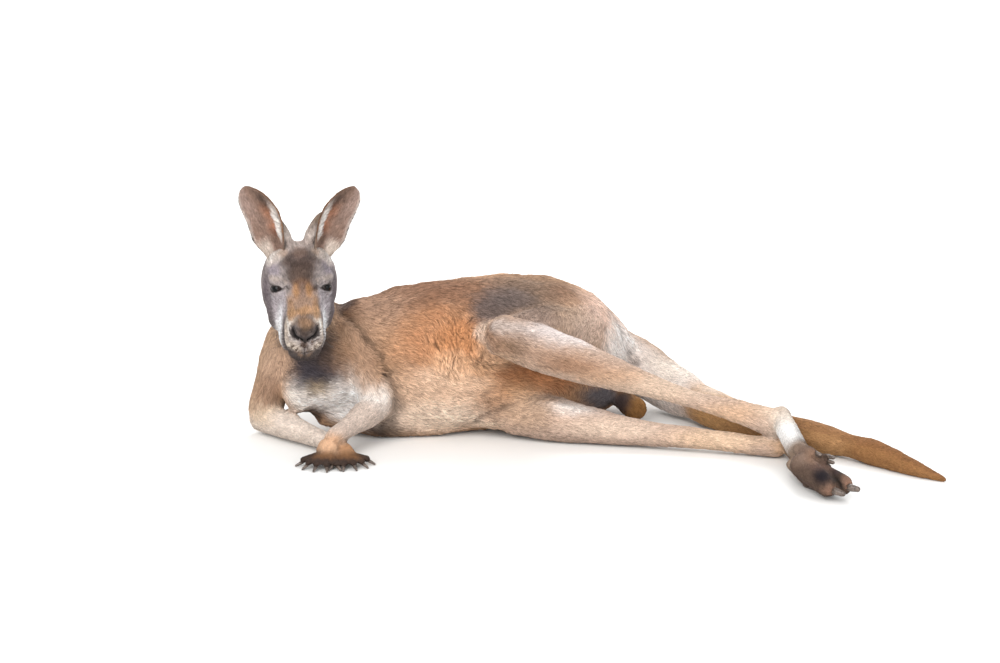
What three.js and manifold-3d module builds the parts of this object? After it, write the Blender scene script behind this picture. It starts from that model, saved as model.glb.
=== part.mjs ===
// A red kangaroo, an adult buck at life size in millimetres, lying on its right side and propped on its
// crossed forearms.
// +Z is up. The body lies along X with the tail towards +X, and the face, belly and feet are towards -Y.
// "Left" and "right" are the animal's own: its left side is uppermost.
import * as THREE from "three";
import { mergeVertices } from "three/addons/utils/BufferGeometryUtils.js";
import Module from "manifold-3d";

const wasm = await Module();
wasm.setup();

// Driving sizes.
const clearance = 0.45; // between one piece and the next
const eyeRadius = 13;
const muzzleLength = 134; // from the eyes' line to the tip of the nose
const craniumLength = 112; // from the eyes' line to the back of the skull
const earLength = 146;
const fingerLength = 40;

// Where the joints are.
const eyesMiddle = [-367, -165, 312];
const headPitch = THREE.MathUtils.degToRad(21); // nose down
const headYaw = THREE.MathUtils.degToRad(7); // nose towards the tail's side
const joints = {
  shoulderRight: [-402, -14, 168],
  elbowRight: [-452, -36, 36],
  wristRight: [-302, -196, 22],
  shoulderLeft: [-272, -66, 178],
  elbowLeft: [-224, -92, 72],
  wristLeft: [-310, -232, 44],
  hipLeft: [150, 100, 166],
  kneeLeft: [17, -138, 212],
  ankleLeft: [503, -192, 64],
  hipRight: [180, 122, 62],
  kneeRight: [34, -70, 46],
  ankleRight: [512, -204, 24],
};

const vector = (p) => new THREE.Vector3(...p);

// A closed body of flesh, swept along a smooth line through its stations. Each station has its centre (at)
// and its half sizes (half): to either side, towards its back, and away from its back. The back faces as
// back says. tips are the lengths over which the two ends round off, and square squares the section above 1.
function flesh(stations, { around = 14, rings = 12, tips = [20, 20], square = 1 } = {}) {
  const path = new THREE.CatmullRomCurve3(stations.map((s) => vector(s.at)));
  const sizes = new THREE.CatmullRomCurve3(stations.map((s) => vector(s.half)), false, "catmullrom", 0.5);
  const backs = new THREE.CatmullRomCurve3(stations.map((s) => vector(s.back)), false, "catmullrom", 0.5);
  const length = path.getLength();
  const domeRings = rings < 9 ? 2 : 3; // rings that round off each end
  const shape = new THREE.SphereGeometry(1, around, rings);
  const place = shape.getAttribute("position");
  const exponent = 1 / square;
  for (let i = 0; i < place.count; i++) {
    const ring = Math.round((Math.acos(THREE.MathUtils.clamp(place.getY(i), -1, 1)) / Math.PI) * rings);
    const angle = Math.atan2(place.getZ(i), place.getX(i));
    const fromStart = tips[0] * (1 - Math.cos(((Math.PI / 2) * ring) / domeRings));
    const fromEnd = tips[1] * (1 - Math.cos(((Math.PI / 2) * (rings - ring)) / domeRings));
    const middle = (ring - domeRings) / (rings - 2 * domeRings);
    let distance = THREE.MathUtils.lerp(tips[0], length - tips[1], middle);
    let fullness = 1;
    if (ring < domeRings) {
      distance = fromStart;
      fullness = Math.sin(((Math.PI / 2) * ring) / domeRings);
    } else if (ring > rings - domeRings) {
      distance = length - fromEnd;
      fullness = Math.sin(((Math.PI / 2) * (rings - ring)) / domeRings);
    }
    const t = path.getUtoTmapping(distance / length);
    const ahead = path.getTangent(t);
    const side = new THREE.Vector3().crossVectors(ahead, backs.getPoint(t)).normalize();
    const back = new THREE.Vector3().crossVectors(side, ahead);
    const half = sizes.getPoint(t).multiplyScalar(fullness);
    const across = Math.sign(Math.cos(angle)) * Math.abs(Math.cos(angle)) ** exponent;
    const upward = Math.sign(Math.sin(angle)) * Math.abs(Math.sin(angle)) ** exponent;
    const point = path
      .getPoint(t)
      .addScaledVector(side, across * half.x)
      .addScaledVector(back, upward * (upward > 0 ? half.y : half.z));
    place.setXYZ(i, point.x, point.y, point.z);
  }
  return outward(shape);
}

// The same geometry with its shared vertices merged, turned inside out where its faces point inwards.
function outward(geometry) {
  geometry.deleteAttribute("normal");
  geometry.deleteAttribute("uv");
  const merged = mergeVertices(geometry, 1e-3);
  const at = merged.getAttribute("position");
  const corners = merged.index.array;
  let volume = 0;
  for (let i = 0; i < corners.length; i += 3) {
    const [a, b, c] = [0, 1, 2].map((k) => new THREE.Vector3().fromBufferAttribute(at, corners[i + k]));
    volume += a.dot(b.cross(c));
  }
  if (volume < 0)
    for (let i = 0; i < corners.length; i += 3)
      [corners[i + 1], corners[i + 2]] = [corners[i + 2], corners[i + 1]];
  return merged;
}

// A limb's stations from a joint to the next: fractions of the way with half sizes. They share one back
// direction, unless a section has its own.
function along(from, to, back, sections) {
  return sections.map(([fraction, half, shift = [0, 0, 0], ownBack = back]) => ({
    at: vector(from).lerp(vector(to), fraction).add(vector(shift)).toArray(),
    half,
    back: ownBack,
  }));
}

const ball = (at, sizes) =>
  outward(new THREE.SphereGeometry(1, 8, 7).scale(...sizes).translate(...at));

// The trunk, from the rump to the breast. It turns from lying on its side to breast down on the way.
const trunk = flesh(
  [
    { at: [262, 148, 98], half: [42, 42, 46], back: [0.6, 1, 0] },
    { at: [205, 134, 110], half: [82, 74, 84], back: [0.25, 1, 0] },
    { at: [112, 98, 131], half: [135, 108, 128], back: [0.1, 1, -0.06] },
    { at: [0, 56, 138], half: [146, 130, 142], back: [0.05, 1, -0.18] },
    { at: [-120, 8, 136], half: [145, 142, 128], back: [0, 1, -0.2] },
    { at: [-212, -6, 138], half: [131, 128, 106], back: [0, 1, 0.1] },
    { at: [-284, -24, 150], half: [100, 102, 106], back: [-0.1, 0.5, 0.85] },
    { at: [-330, -70, 126], half: [76, 82, 103], back: [0, 0.35, 0.95] },
    { at: [-338, -112, 112], half: [56, 58, 86], back: [0, 0.3, 1] },
  ],
  { around: 15, rings: 14, tips: [40, 45], square: 1.25 },
);
// The flank's lower edge, spread on the floor.
const belly = flesh(
  [
    { at: [-352, -38, 54], half: [30, 36, 36], back: [0, 1, 0] },
    { at: [-300, -42, 46], half: [42, 46, 46], back: [0, 1, 0] },
    { at: [-215, -44, 43], half: [49, 60, 58], back: [0, 1, 0] },
    { at: [-110, -26, 43], half: [49, 60, 62], back: [0, 1, 0] },
    { at: [0, 10, 50], half: [46, 50, 60], back: [0, 1, 0] },
  ],
  { around: 8, rings: 7, tips: [20, 24] },
);

// The breast hangs to the elbows, and folds of skin join the knees to the flank and the belly.
const breast = ball([-374, -68, 104], [40, 46, 56]);
const flankFold = flesh(
  [
    { at: [46, -118, 208], half: [38, 40, 42], back: [0, 1, 0.4] },
    { at: [-18, -92, 196], half: [42, 46, 50], back: [0, 1, 0.4] },
    { at: [-92, -58, 180], half: [40, 42, 52], back: [0, 1, 0.4] },
  ],
  { around: 9, rings: 7, tips: [24, 36] },
);
const bellyFold = flesh(
  [
    { at: [62, -70, 54], half: [38, 40, 42], back: [0, 1, 0] },
    { at: [-10, -58, 56], half: [40, 42, 44], back: [0, 1, 0] },
    { at: [-80, -42, 58], half: [40, 42, 44], back: [0, 1, 0] },
  ],
  { around: 9, rings: 6, tips: [20, 30] },
);

const neck = flesh(
  [
    { at: [-330, 4, 168], half: [80, 76, 90], back: [0, 1, 0.4] },
    { at: [-366, -40, 232], half: [62, 66, 74], back: [0, 1, 0.3] },
    { at: [-371, -72, 286], half: [57, 56, 62], back: [0, 1, 0.3] },
    { at: [-372, -98, 330], half: [50, 46, 52], back: [0, 1, 0.5] },
  ],
  { around: 9, rings: 7, tips: [45, 30] },
);

// The head is laid out about the middle of the eyes' line: its left towards +X, ahead towards -Y, crown up.
const headPlace = new THREE.Matrix4()
  .makeRotationFromEuler(new THREE.Euler(headPitch, 0, headYaw, "ZXY"))
  .setPosition(...eyesMiddle);
const inHead = (geometry) => outward(geometry.applyMatrix4(headPlace));

// [distance ahead of the eyes, half width, crown above and jaw below the eyes' line]
const headProfile = [
  [-craniumLength, 34, 14, 38],
  [-94, 52, 45, 62],
  [-68, 66, 60, 80],
  [-38, 71, 60, 92],
  [-12, 66, 55, 98],
  [16, 52, 43, 94],
  [46, 41, 34, 84],
  [76, 36, 27, 77],
  [102, 36, 22, 75],
  [120, 35, 17, 74],
  [muzzleLength, 28, 8, 68],
];
const skull = flesh(
  headProfile.map(([ahead, side, crown, jaw]) => {
    const level = (crown - jaw) / 2;
    const half = (crown + jaw) / 2;
    return { at: [0, -ahead, level], half: [side, half, half], back: [0, 0, 1] };
  }),
  { around: 13, rings: 12, tips: [26, 12], square: 1.25 },
);
const browRidge = (side) => ball([side * 43, 0, 27], [19, 24, 10]);
const cheek = (side) => ball([side * 36, 6, -43], [28, 52, 46]);
const jaw = (side) => ball([side * 28, -54, -60], [16, 38, 28]);
// The furred root of an ear, between the ear and the crown.
const earRoot = (side) => {
  const lobe = new THREE.SphereGeometry(1, 8, 7).scale(11.5, 16, 41);
  return outward(lobe.rotateY(side * 0.26).translate(side * 24, 81, 67));
};

// An ear is a leaf rolled about its length: a funnel at its root and a scoop above, open to the front.
// up runs from 0 at its root to 1 at its tip.
const earThickness = 2.8; // half of it
function ear(side) {
  const leaf = new THREE.SphereGeometry(1, 12, 10);
  const place = leaf.getAttribute("position");
  for (let i = 0; i < place.count; i++) {
    const up = 1 - Math.acos(THREE.MathUtils.clamp(place.getY(i), -1, 1)) / Math.PI;
    const ring = Math.hypot(place.getX(i), place.getZ(i));
    const atPole = ring < 1e-6;
    const across = atPole ? 0 : place.getX(i) / ring;
    const through = atPole ? 0 : place.getZ(i) / ring;
    const beyondWidest = Math.max(0, (up - 0.4) / 0.6);
    const taper = Math.sqrt(1 - beyondWidest ** 2.8) * (0.6 + 0.4 * THREE.MathUtils.smoothstep(up, 0, 0.4));
    const halfWidth = atPole ? 0.5 : (43 - 5 * THREE.MathUtils.smoothstep(up, 0.25, 0.6)) * taper;
    const roll = THREE.MathUtils.lerp(1.75, 0.66, THREE.MathUtils.smoothstep(up, -0.1, 0.62));
    const radius = halfWidth / roll;
    const turn = across * roll;
    const skin = radius + earThickness * through * (1 - 0.6 * across ** 4);
    const bend = 18 * Math.sin(Math.PI * up * 0.55);
    const bow = side * 10 * Math.sin(Math.PI * up);
    place.setXYZ(i, skin * Math.sin(turn) - bow, skin * Math.cos(turn) - radius + bend, up * earLength);
  }
  const turned = new THREE.Euler(-0.16, side * 0.64 + 0.05, side * 0.3, "ZYX");
  const lean = new THREE.Matrix4().makeRotationFromEuler(turned);
  return inHead(leaf.applyMatrix4(lean).translate(side * 34, 60, 30));
}

// The tail, from the rump to the tip, deepest at its root and laid along the floor.
const tailStations = [
  { at: [222, 152, 102], half: [64, 58, 60], back: [0.3, 1, 0.1] },
  { at: [262, 142, 90], half: [59, 55, 57], back: [0.4, 1, 0.3] },
  { at: [304, 122, 66], half: [53, 52, 52], back: [0.6, 0.6, 0.6] },
  { at: [344, 86, 49], half: [46, 48, 49], back: [0.4, 0.3, 1] },
  { at: [378, 42, 41], half: [40, 42, 42], back: [0.4, 0.3, 1] },
  { at: [412, -8, 36], half: [35, 36, 37], back: [0.2, 0.1, 1] },
  { at: [486, -78, 31], half: [30, 31, 32], back: [0.2, 0.1, 1] },
  { at: [562, -143, 29], half: [28, 29, 29.5], back: [0.1, 0, 1] },
  { at: [646, -215, 27], half: [26, 27, 27.5], back: [0.1, 0, 1] },
  { at: [698, -264, 22], half: [22, 23, 22.5], back: [0.1, 0, 1] },
  { at: [742, -312, 16], half: [16, 17, 16.5], back: [0.1, 0, 1] },
  { at: [778, -344, 10], half: [10, 10, 10], back: [0.1, 0, 1] },
  { at: [804, -362, 4], half: [4, 4, 4], back: [0.1, 0, 1] },
];
const tail = (first, last, tips) =>
  flesh(tailStations.slice(first, last + 1), { around: 10, rings: 8, tips });

const upperArmRight = flesh(
  along(joints.shoulderRight, joints.elbowRight, [0, 1, 0], [
    [-0.3, [44, 50, 46]],
    [0.15, [44, 52, 48]],
    [0.5, [37, 42, 40]],
    [0.8, [34, 35, 35]],
    [1.1, [28, 30, 30]],
  ]),
  { around: 10, rings: 9, tips: [30, 20] },
);
const forearmRight = flesh(
  along(joints.elbowRight, joints.wristRight, [0, 0, 1], [
    [-0.1, [26, 25, 33]],
    [0.15, [29, 27, 32]],
    [0.4, [25, 23, 26]],
    [0.7, [18, 17, 20]],
    [1.04, [16, 14, 16]],
  ]),
  { around: 9, rings: 7, tips: [18, 12] },
);
const upperArmLeft = flesh(
  along(joints.shoulderLeft, joints.elbowLeft, [0.6, 1, 0.3], [
    [-0.5, [48, 60, 40]],
    [0, [50, 64, 44]],
    [0.45, [40, 52, 40]],
    [0.8, [32, 38, 34]],
    [1.12, [26, 28, 28]],
  ]),
  { around: 9, rings: 9, tips: [36, 20] },
);
const forearmLeft = flesh(
  along(joints.elbowLeft, joints.wristLeft, [0.3, 0, 1], [
    [-0.1, [26, 26, 26]],
    [0.15, [29, 31, 29]],
    [0.4, [25, 25, 25]],
    [0.7, [19, 18, 18]],
    [1.04, [17, 15, 16]],
  ]),
  { around: 9, rings: 7, tips: [18, 12] },
);

// Five fingers fan out from the palm and bend down to the floor, each with a curved claw.
const fingerSpread = [-56, -28, -2, 24, 52]; // degrees from the hand's own heading
const fingerRadius = 7.8;
function hand(wrist, palm, heading) {
  const back = [0, 0, 1];
  const pad = flesh(
    [
      { at: wrist, half: [17, 15, 15], back },
      { at: vector(wrist).lerp(vector(palm), 0.6).toArray(), half: [22, 14, 14], back },
      { at: vector(wrist).lerp(vector(palm), 1.35).toArray(), half: [22, 11, 11], back },
    ],
    { around: 7, rings: 6, tips: [10, 14] },
  );
  const fingers = [];
  const claws = [];
  for (const spread of fingerSpread) {
    const turn = THREE.MathUtils.degToRad(heading + spread);
    const reach = (distance, height) => [
      palm[0] + distance * Math.cos(turn),
      palm[1] + distance * Math.sin(turn),
      height,
    ];
    const knuckle = 20 + fingerLength * 0.3;
    const fingerEnd = 14 + fingerLength * 0.8;
    fingers.push(
      flesh(
        [
          { at: reach(0, palm[2]), half: [8, 9, 9], back },
          { at: reach(knuckle, palm[2] - 1), half: [fingerRadius, fingerRadius, fingerRadius], back },
          { at: reach(fingerEnd, fingerRadius), half: [7, 7, 7], back },
        ],
        { around: 6, rings: 5, tips: [6, 7] },
      ),
    );
    claws.push(
      flesh(
        [
          { at: reach(fingerEnd - 9, fingerRadius + 3), half: [4.2, 4.2, 4.2], back },
          { at: reach(fingerEnd + 2, fingerRadius + 1), half: [3.5, 3.5, 3.5], back },
          { at: reach(fingerEnd + 10, 1.6), half: [1.1, 1.1, 1.1], back },
        ],
        { around: 5, rings: 5, tips: [2, 1.5] },
      ),
    );
  }
  return { pad, fingers, claws };
}
const handRight = hand(joints.wristRight, [-284, -243, 17], -64);
const handLeft = hand(joints.wristLeft, [-321, -249, 20], -108);

const thighLeft = flesh(
  along(joints.hipLeft, joints.kneeLeft, [1, -0.25, 0.2], [
    [-0.26, [50, 58, 70]],
    [0, [68, 82, 96]],
    [0.32, [66, 88, 92]],
    [0.68, [54, 66, 70]],
    [0.98, [38, 44, 38]],
  ]),
  { around: 11, rings: 9, tips: [40, 26] },
);
const shankLeft = flesh(
  along(joints.kneeLeft, joints.ankleLeft, [0, 1, 0.25], [
    [-0.09, [34, 38, 36]],
    [0.04, [42, 48, 44]],
    [0.14, [44, 52, 42], [0, 0, -3]],
    [0.26, [39, 46, 34], [0, 0, -5]],
    [0.4, [30, 36, 28], [0, 0, -5]],
    [0.54, [20, 28, 22], [0, 0, -5]],
    [0.72, [13.5, 25, 18], [0, 0, -6], [0, 1, 0.4]],
    [0.84, [16, 28, 20], [0, 0, -3], [0, 1, 0.7]],
    [0.93, [19, 34, 26], [0, 0, -2], [0, 1, 0.9]],
    [1.04, [22, 36, 27], [0, 0, -4], [0, 1, 0.9]],
  ]),
  { around: 9, rings: 13, tips: [26, 14] },
);
const thighRight = flesh(
  along(joints.hipRight, joints.kneeRight, [1, -0.25, 0.1], [
    [-0.26, [46, 56, 66]],
    [0, [58, 82, 90]],
    [0.35, [56, 84, 82]],
    [0.7, [50, 66, 62]],
    [1, [40, 44, 38]],
  ]),
  { around: 11, rings: 9, tips: [40, 26] },
);
const shankRight = flesh(
  along(joints.kneeRight, joints.ankleRight, [0, 1, 0.1], [
    [-0.08, [34, 36, 36]],
    [0.06, [44, 50, 46]],
    [0.18, [40, 50, 42], [0, 0, -2]],
    [0.32, [31, 42, 34], [0, 0, -6]],
    [0.46, [24, 32, 26], [0, 0, -8]],
    [0.62, [20.5, 27, 22], [0, 0, -6]],
    [0.8, [17.5, 25, 19], [0, 0, -5]],
    [1.03, [17, 29, 20], [0, 0, -6]],
  ]),
  { around: 9, rings: 12, tips: [26, 16] },
);

// A foot is laid out from its heel: +X ahead along its long bones, +Z its upper surface, and its outer side
// towards +Y on a left foot and -Y on a right one. The fourth toe is the great one on the line of the foot.
// The fifth stands beside it on the outer side, and the second and third are joined into one slim toe with
// two claws on the inner side. All the toes curl down from the foot's line.
const toeCurl = THREE.MathUtils.degToRad(18);
const toeRoot = 246; // from the heel to where the toes bend
const toes = [
  { root: [-40, 0, 0], tip: [88, -2, -2], radius: [25, 18], claw: [13.5, 8], clawSides: [0] },
  { root: [-62, 14, -6], tip: [-8, 26, -14], radius: [12, 11], claw: [10, 5], clawSides: [0] },
  { root: [-70, -16, -4], tip: [4, -30, -10], radius: [11, 9], claw: [9, 3.4], clawSides: [-4.4, 4.4] },
];
function foot({ heel, ahead, upper, outer }) {
  const x = vector(ahead).normalize();
  const y = new THREE.Vector3().crossVectors(vector(upper), x).normalize();
  const z = new THREE.Vector3().crossVectors(x, y);
  const place = new THREE.Matrix4().makeBasis(x, y, z).setPosition(...heel);
  const bend = new THREE.Matrix4().makeRotationY(toeCurl).setPosition(toeRoot, 0, 0);
  const set = (geometry) => outward(geometry.applyMatrix4(place));
  const setToe = (geometry) => set(geometry.applyMatrix4(bend));
  const back = [0, 0, 1];
  const sole = set(
    flesh(
      [
        { at: [-20, 0, -2], half: [17, 20, 17], back },
        { at: [22, 0, 2], half: [23, 27, 20], back },
        { at: [90, 0, 2], half: [20, 21, 18], back },
        { at: [170, 0, 0], half: [22, 21, 20], back },
        { at: [toeRoot + 8, 0, -6], half: [25, 20, 24], back },
      ],
      { around: 7, rings: 7, tips: [14, 20] },
    ),
  );
  const digits = [];
  const claws = [];
  for (const { root, tip, radius, claw, clawSides } of toes) {
    const [wide, narrow] = radius;
    const rootSide = root[1] * outer;
    const tipSide = tip[1] * outer;
    const level = tip[2];
    const halfway = [(root[0] + tip[0]) / 2, (rootSide + tipSide) / 2, level / 2];
    digits.push(
      setToe(
        flesh(
          [
            { at: [root[0], rootSide, root[2]], half: [wide, wide, wide], back },
            { at: halfway, half: [wide, wide, wide], back },
            { at: [tip[0], tipSide, level], half: [narrow, narrow, narrow], back },
          ],
          { around: 7, rings: 5, tips: [wide * 0.6, narrow * 0.9] },
        ),
      ),
    );
    const [clawLength, clawRadius] = claw;
    const clawRoot = [clawRadius, clawRadius, clawRadius];
    const clawMiddle = [clawRadius, clawRadius, clawRadius * 0.8];
    const clawTip = clawRoot.map((radius) => radius * 0.36);
    for (const across of clawSides) {
      const side = tipSide + across;
      claws.push(
        setToe(
          flesh(
            [
              { at: [tip[0] - 18, side, level + narrow * 0.4], half: clawRoot, back },
              { at: [tip[0] + clawLength * 0.3, side, level], half: clawMiddle, back },
              { at: [tip[0] + clawLength, side, level - narrow * 0.8], half: clawTip, back },
            ],
            { around: 6, rings: 5, tips: [3, 2] },
          ),
        ),
      );
    }
  }
  return { sole, digits, claws };
}
const footLeft = foot({ heel: [522, -170, 70], ahead: [44, -375, -48], upper: [-1, -0.2, 0.15], outer: 1 });
const footRight = foot({ heel: [532, -172, 29], ahead: [56, -345, 1], upper: [-1, -0.3, 0.1], outer: -1 });

const scrotum = flesh(
  [
    { at: [214, 66, 62], half: [16, 16, 16], back: [0, 0, 1] },
    { at: [240, 32, 46], half: [15, 15, 15], back: [0, 0, 1] },
    { at: [262, 10, 36], half: [21, 21, 21], back: [0, 0, 1] },
    { at: [270, -2, 33], half: [17, 18, 18], back: [0, 0, 1] },
  ],
  { around: 8, rings: 8, tips: [6, 14] },
);

// Every piece in order: each gives way to those before it, and all of them to the floor.
const coat = { roughness: 0.9, metalness: 0 };
const finishes = {
  fur_rufous: { color: 0xb58a6a, ...coat },
  fur_pale: { color: 0xd9c3ae, ...coat },
  fur_grey: { color: 0x8d8079, ...coat },
  skin_dark: { color: 0x4a3a34, roughness: 0.7, metalness: 0 },
  eye: { color: 0x1a1512, roughness: 0.1, metalness: 0 },
  claw: { color: 0x3b3531, roughness: 0.45, metalness: 0 },
};
const eyeAt = (side) => vector([side * 42, -14, 11]).applyMatrix4(headPlace).toArray();
const sides = ["left", "right"];
const clawPiece = (name, shape) => ({ name, finish: "claw", shapes: [shape] });
const claws = (kind, side, made, names) =>
  made.claws.map((shape, i) => clawPiece(`${kind}_claw_${side}_${names[i]}`, shape));
const paw = (name, shapes) => ({ name, finish: "skin_dark", shapes });
const toeNames = ["fourth", "fifth", "second", "third"];
const fingerNames = {
  left: ["first", "second", "third", "fourth", "fifth"],
  right: ["fifth", "fourth", "third", "second", "first"],
};
const feet = [footLeft, footRight];
const hands = [handLeft, handRight];
const pieces = [
  { name: "eye_left", finish: "eye", shapes: [ball(eyeAt(1), [eyeRadius, eyeRadius, eyeRadius])] },
  { name: "eye_right", finish: "eye", shapes: [ball(eyeAt(-1), [eyeRadius, eyeRadius, eyeRadius])] },
  {
    name: "head",
    finish: "fur_grey",
    shapes: [skull, ...[browRidge, cheek, jaw, earRoot].flatMap((part) => [part(1), part(-1)])].map(inHead),
  },
  { name: "upper_arm_left", finish: "fur_rufous", shapes: [upperArmLeft] },
  { name: "upper_arm_right", finish: "fur_rufous", shapes: [upperArmRight] },
  { name: "trunk", finish: "fur_rufous", shapes: [trunk, belly, breast, flankFold, bellyFold] },
  { name: "neck", finish: "fur_rufous", shapes: [neck] },
  { name: "ear_left", finish: "fur_grey", shapes: [ear(1)] },
  { name: "ear_right", finish: "fur_grey", shapes: [ear(-1)] },
  { name: "tail_root", finish: "fur_pale", shapes: [tail(0, 4, [30, 10])] },
  { name: "tail_middle", finish: "fur_rufous", shapes: [tail(4, 8, [4, 8])] },
  { name: "tail_tip", finish: "fur_rufous", shapes: [tail(8, 12, [4, 4])] },
  { name: "thigh_left", finish: "fur_rufous", shapes: [thighLeft] },
  { name: "shank_left", finish: "fur_pale", shapes: [shankLeft] },
  { name: "thigh_right", finish: "fur_rufous", shapes: [thighRight] },
  { name: "shank_right", finish: "fur_pale", shapes: [shankRight] },
  { name: "forearm_left", finish: "fur_pale", shapes: [forearmLeft] },
  { name: "forearm_right", finish: "fur_pale", shapes: [forearmRight] },
  ...sides.map((side, i) => paw(`foot_${side}`, [feet[i].sole, ...feet[i].digits])),
  ...sides.map((side, i) => paw(`hand_${side}`, [hands[i].pad, ...hands[i].fingers])),
  { name: "scrotum", finish: "fur_pale", shapes: [scrotum] },
  ...sides.flatMap((side, i) => claws("toe", side, feet[i], toeNames)),
  ...sides.flatMap((side, i) => claws("finger", side, hands[i], fingerNames[side])),
];

const solidOf = (geometry) =>
  new wasm.Manifold(
    new wasm.Mesh({
      numProp: 3,
      vertProperties: new Float32Array(geometry.getAttribute("position").array),
      triVerts: new Uint32Array(geometry.index.array),
    }),
  );

// The geometry pushed out along its normals, to cut room for itself in a neighbour.
function swollen(geometry, by) {
  const bigger = geometry.clone();
  bigger.computeVertexNormals();
  const at = bigger.getAttribute("position");
  const normal = bigger.getAttribute("normal");
  for (let i = 0; i < at.count; i++) {
    const point = new THREE.Vector3().fromBufferAttribute(at, i);
    point.addScaledVector(new THREE.Vector3().fromBufferAttribute(normal, i), by);
    at.setXYZ(i, point.x, point.y, point.z);
  }
  return bigger;
}

const floorBlock = solidOf(outward(new THREE.BoxGeometry(3000, 3000, 400).translate(0, 0, -200)));
const kangaroo = new THREE.Group();
const rooms = [];
for (const { name, finish, shapes } of pieces) {
  let body = shapes.map(solidOf).reduce((a, b) => a.add(b)).subtract(floorBlock);
  for (const room of rooms) body = body.subtract(room);
  if (body.isEmpty()) throw new Error(`nothing is left of ${name}`);
  body = body.decompose().reduce((a, b) => (a.volume() > b.volume() ? a : b));
  body = body.simplify(clearance / 2);
  rooms.push(shapes.map((shape) => solidOf(swollen(shape, clearance))).reduce((a, b) => a.add(b)));
  const made = body.getMesh();
  const geometry = new THREE.BufferGeometry()
    .setAttribute("position", new THREE.BufferAttribute(new Float32Array(made.vertProperties), 3))
    .setIndex(new THREE.BufferAttribute(new Uint32Array(made.triVerts), 1));
  geometry.computeBoundingBox();
  const middle = geometry.boundingBox.getCenter(new THREE.Vector3());
  geometry.translate(...middle.clone().negate());
  const mesh = new THREE.Mesh(geometry, new THREE.MeshStandardMaterial(finishes[finish]));
  mesh.name = name;
  mesh.position.copy(middle);
  kangaroo.add(mesh);
}

// The origin is on the floor, under the middle of the whole.
const extent = new THREE.Box3().setFromObject(kangaroo);
const middle = extent.getCenter(new THREE.Vector3());
kangaroo.position.set(-middle.x, -middle.y, -extent.min.z);
const model = new THREE.Group();
model.add(kangaroo);

export default model;
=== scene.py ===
import math
import time
import bmesh
import bpy
import numpy as np
from mathutils import Matrix, Vector
from mathutils.bvhtree import BVHTree
from mathutils.kdtree import KDTree


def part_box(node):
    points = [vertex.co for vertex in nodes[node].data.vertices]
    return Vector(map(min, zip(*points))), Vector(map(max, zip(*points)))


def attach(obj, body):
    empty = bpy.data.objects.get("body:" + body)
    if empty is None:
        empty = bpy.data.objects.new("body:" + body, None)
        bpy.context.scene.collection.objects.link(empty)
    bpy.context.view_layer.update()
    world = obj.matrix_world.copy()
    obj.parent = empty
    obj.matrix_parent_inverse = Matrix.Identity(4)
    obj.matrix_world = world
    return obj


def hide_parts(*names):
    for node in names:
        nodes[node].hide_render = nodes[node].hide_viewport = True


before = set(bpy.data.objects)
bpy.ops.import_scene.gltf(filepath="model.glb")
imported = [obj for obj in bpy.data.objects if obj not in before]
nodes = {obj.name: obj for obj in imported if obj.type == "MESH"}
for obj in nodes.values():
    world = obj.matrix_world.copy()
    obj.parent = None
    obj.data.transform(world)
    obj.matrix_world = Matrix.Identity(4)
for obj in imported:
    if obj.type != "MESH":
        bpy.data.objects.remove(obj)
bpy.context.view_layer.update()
startTime = time.time()
chance = np.random.default_rng(11)


def report(text):
    print(f"{time.time() - startTime:6.1f} s  {text}", flush=True)


# Places are given in millimetres of the animal's own layout; shift brings them to the frame.
layout = {"shift": (-161.4, 149.25, 0), "eyesMiddle": (-367, -165, 312), "headPitch": 21, "headYaw": 7}


def place(point):
    return (np.asarray(point, float) + layout["shift"]) / 1000


def layoutOf(points):
    return points * 1000 - layout["shift"]


headTurn = np.array(
    Matrix.Rotation(math.radians(layout["headYaw"]), 3, "Z")
    @ Matrix.Rotation(math.radians(layout["headPitch"]), 3, "X")
)
headMiddle = place(layout["eyesMiddle"])


def toHead(points):  # millimetres to the side, ahead and up from the middle of the eyes' line
    return (points - headMiddle) @ headTurn * (1000, -1000, 1000)


def fromHead(points):  # one place or many
    return headMiddle + (np.asarray(points, float) * (0.001, -0.001, 0.001)) @ headTurn.T


def linear(hexColour):
    values = np.array([int(hexColour[i:i + 2], 16) / 255 for i in (0, 2, 4)])
    return np.where(values <= 0.04045, values / 12.92, ((values + 0.055) / 1.055) ** 2.4)


def smoothStep(values, low, high):
    t = np.clip((values - low) / (high - low), 0, 1)
    return t * t * (3 - 2 * t)


def bump(values, middle, width):  # 1 at the middle, 0 beyond the width
    return 1 - smoothStep(np.abs(values - middle), 0, width)


def oval(across, up, middle, reach):  # 1 at the middle of an oval, 0 beyond its rim
    return bump(np.hypot((across - middle[0]) / reach[0], (up - middle[1]) / reach[1]), 0, 1)


def alongLine(spots, start, finish):  # how far along the line, from 0 to 1, and how far away from it
    start = np.asarray(start, float)
    run = np.asarray(finish, float) - start
    t = np.clip((spots - start) @ run / (run @ run), 0, 1)
    return t, np.linalg.norm(spots - start - t[:, None] * run, axis=1)


def mirror(spots):  # both sides of the head as one
    return np.column_stack([np.abs(spots[:, 0]), spots[:, 1], spots[:, 2]])


def mix(low, high, share):
    return low + (high - low) * share


def wobble(points, size, seed):  # smooth and uneven, from about -1 to 1, with features of that size in metres
    rule = np.random.default_rng(seed)
    total = np.zeros(len(points))
    for _ in range(7):
        heading = rule.normal(size=3)
        heading *= 2 * math.pi / size * rule.uniform(0.6, 1.5) / np.linalg.norm(heading)
        total += np.sin(points @ heading + rule.uniform(0, 6.28))
    return total / 3.2


def readOut(items, name, wide, kind=np.float32):
    flat = np.empty(len(items) * wide, kind)
    items.foreach_get(name, flat)
    return flat.reshape(-1, wide)


def coordinates(mesh):
    return readOut(mesh.vertices, "co", 3).astype(float)


def setCoordinates(mesh, points):
    mesh.vertices.foreach_set("co", points.astype(np.float32).ravel())
    mesh.update()


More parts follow.
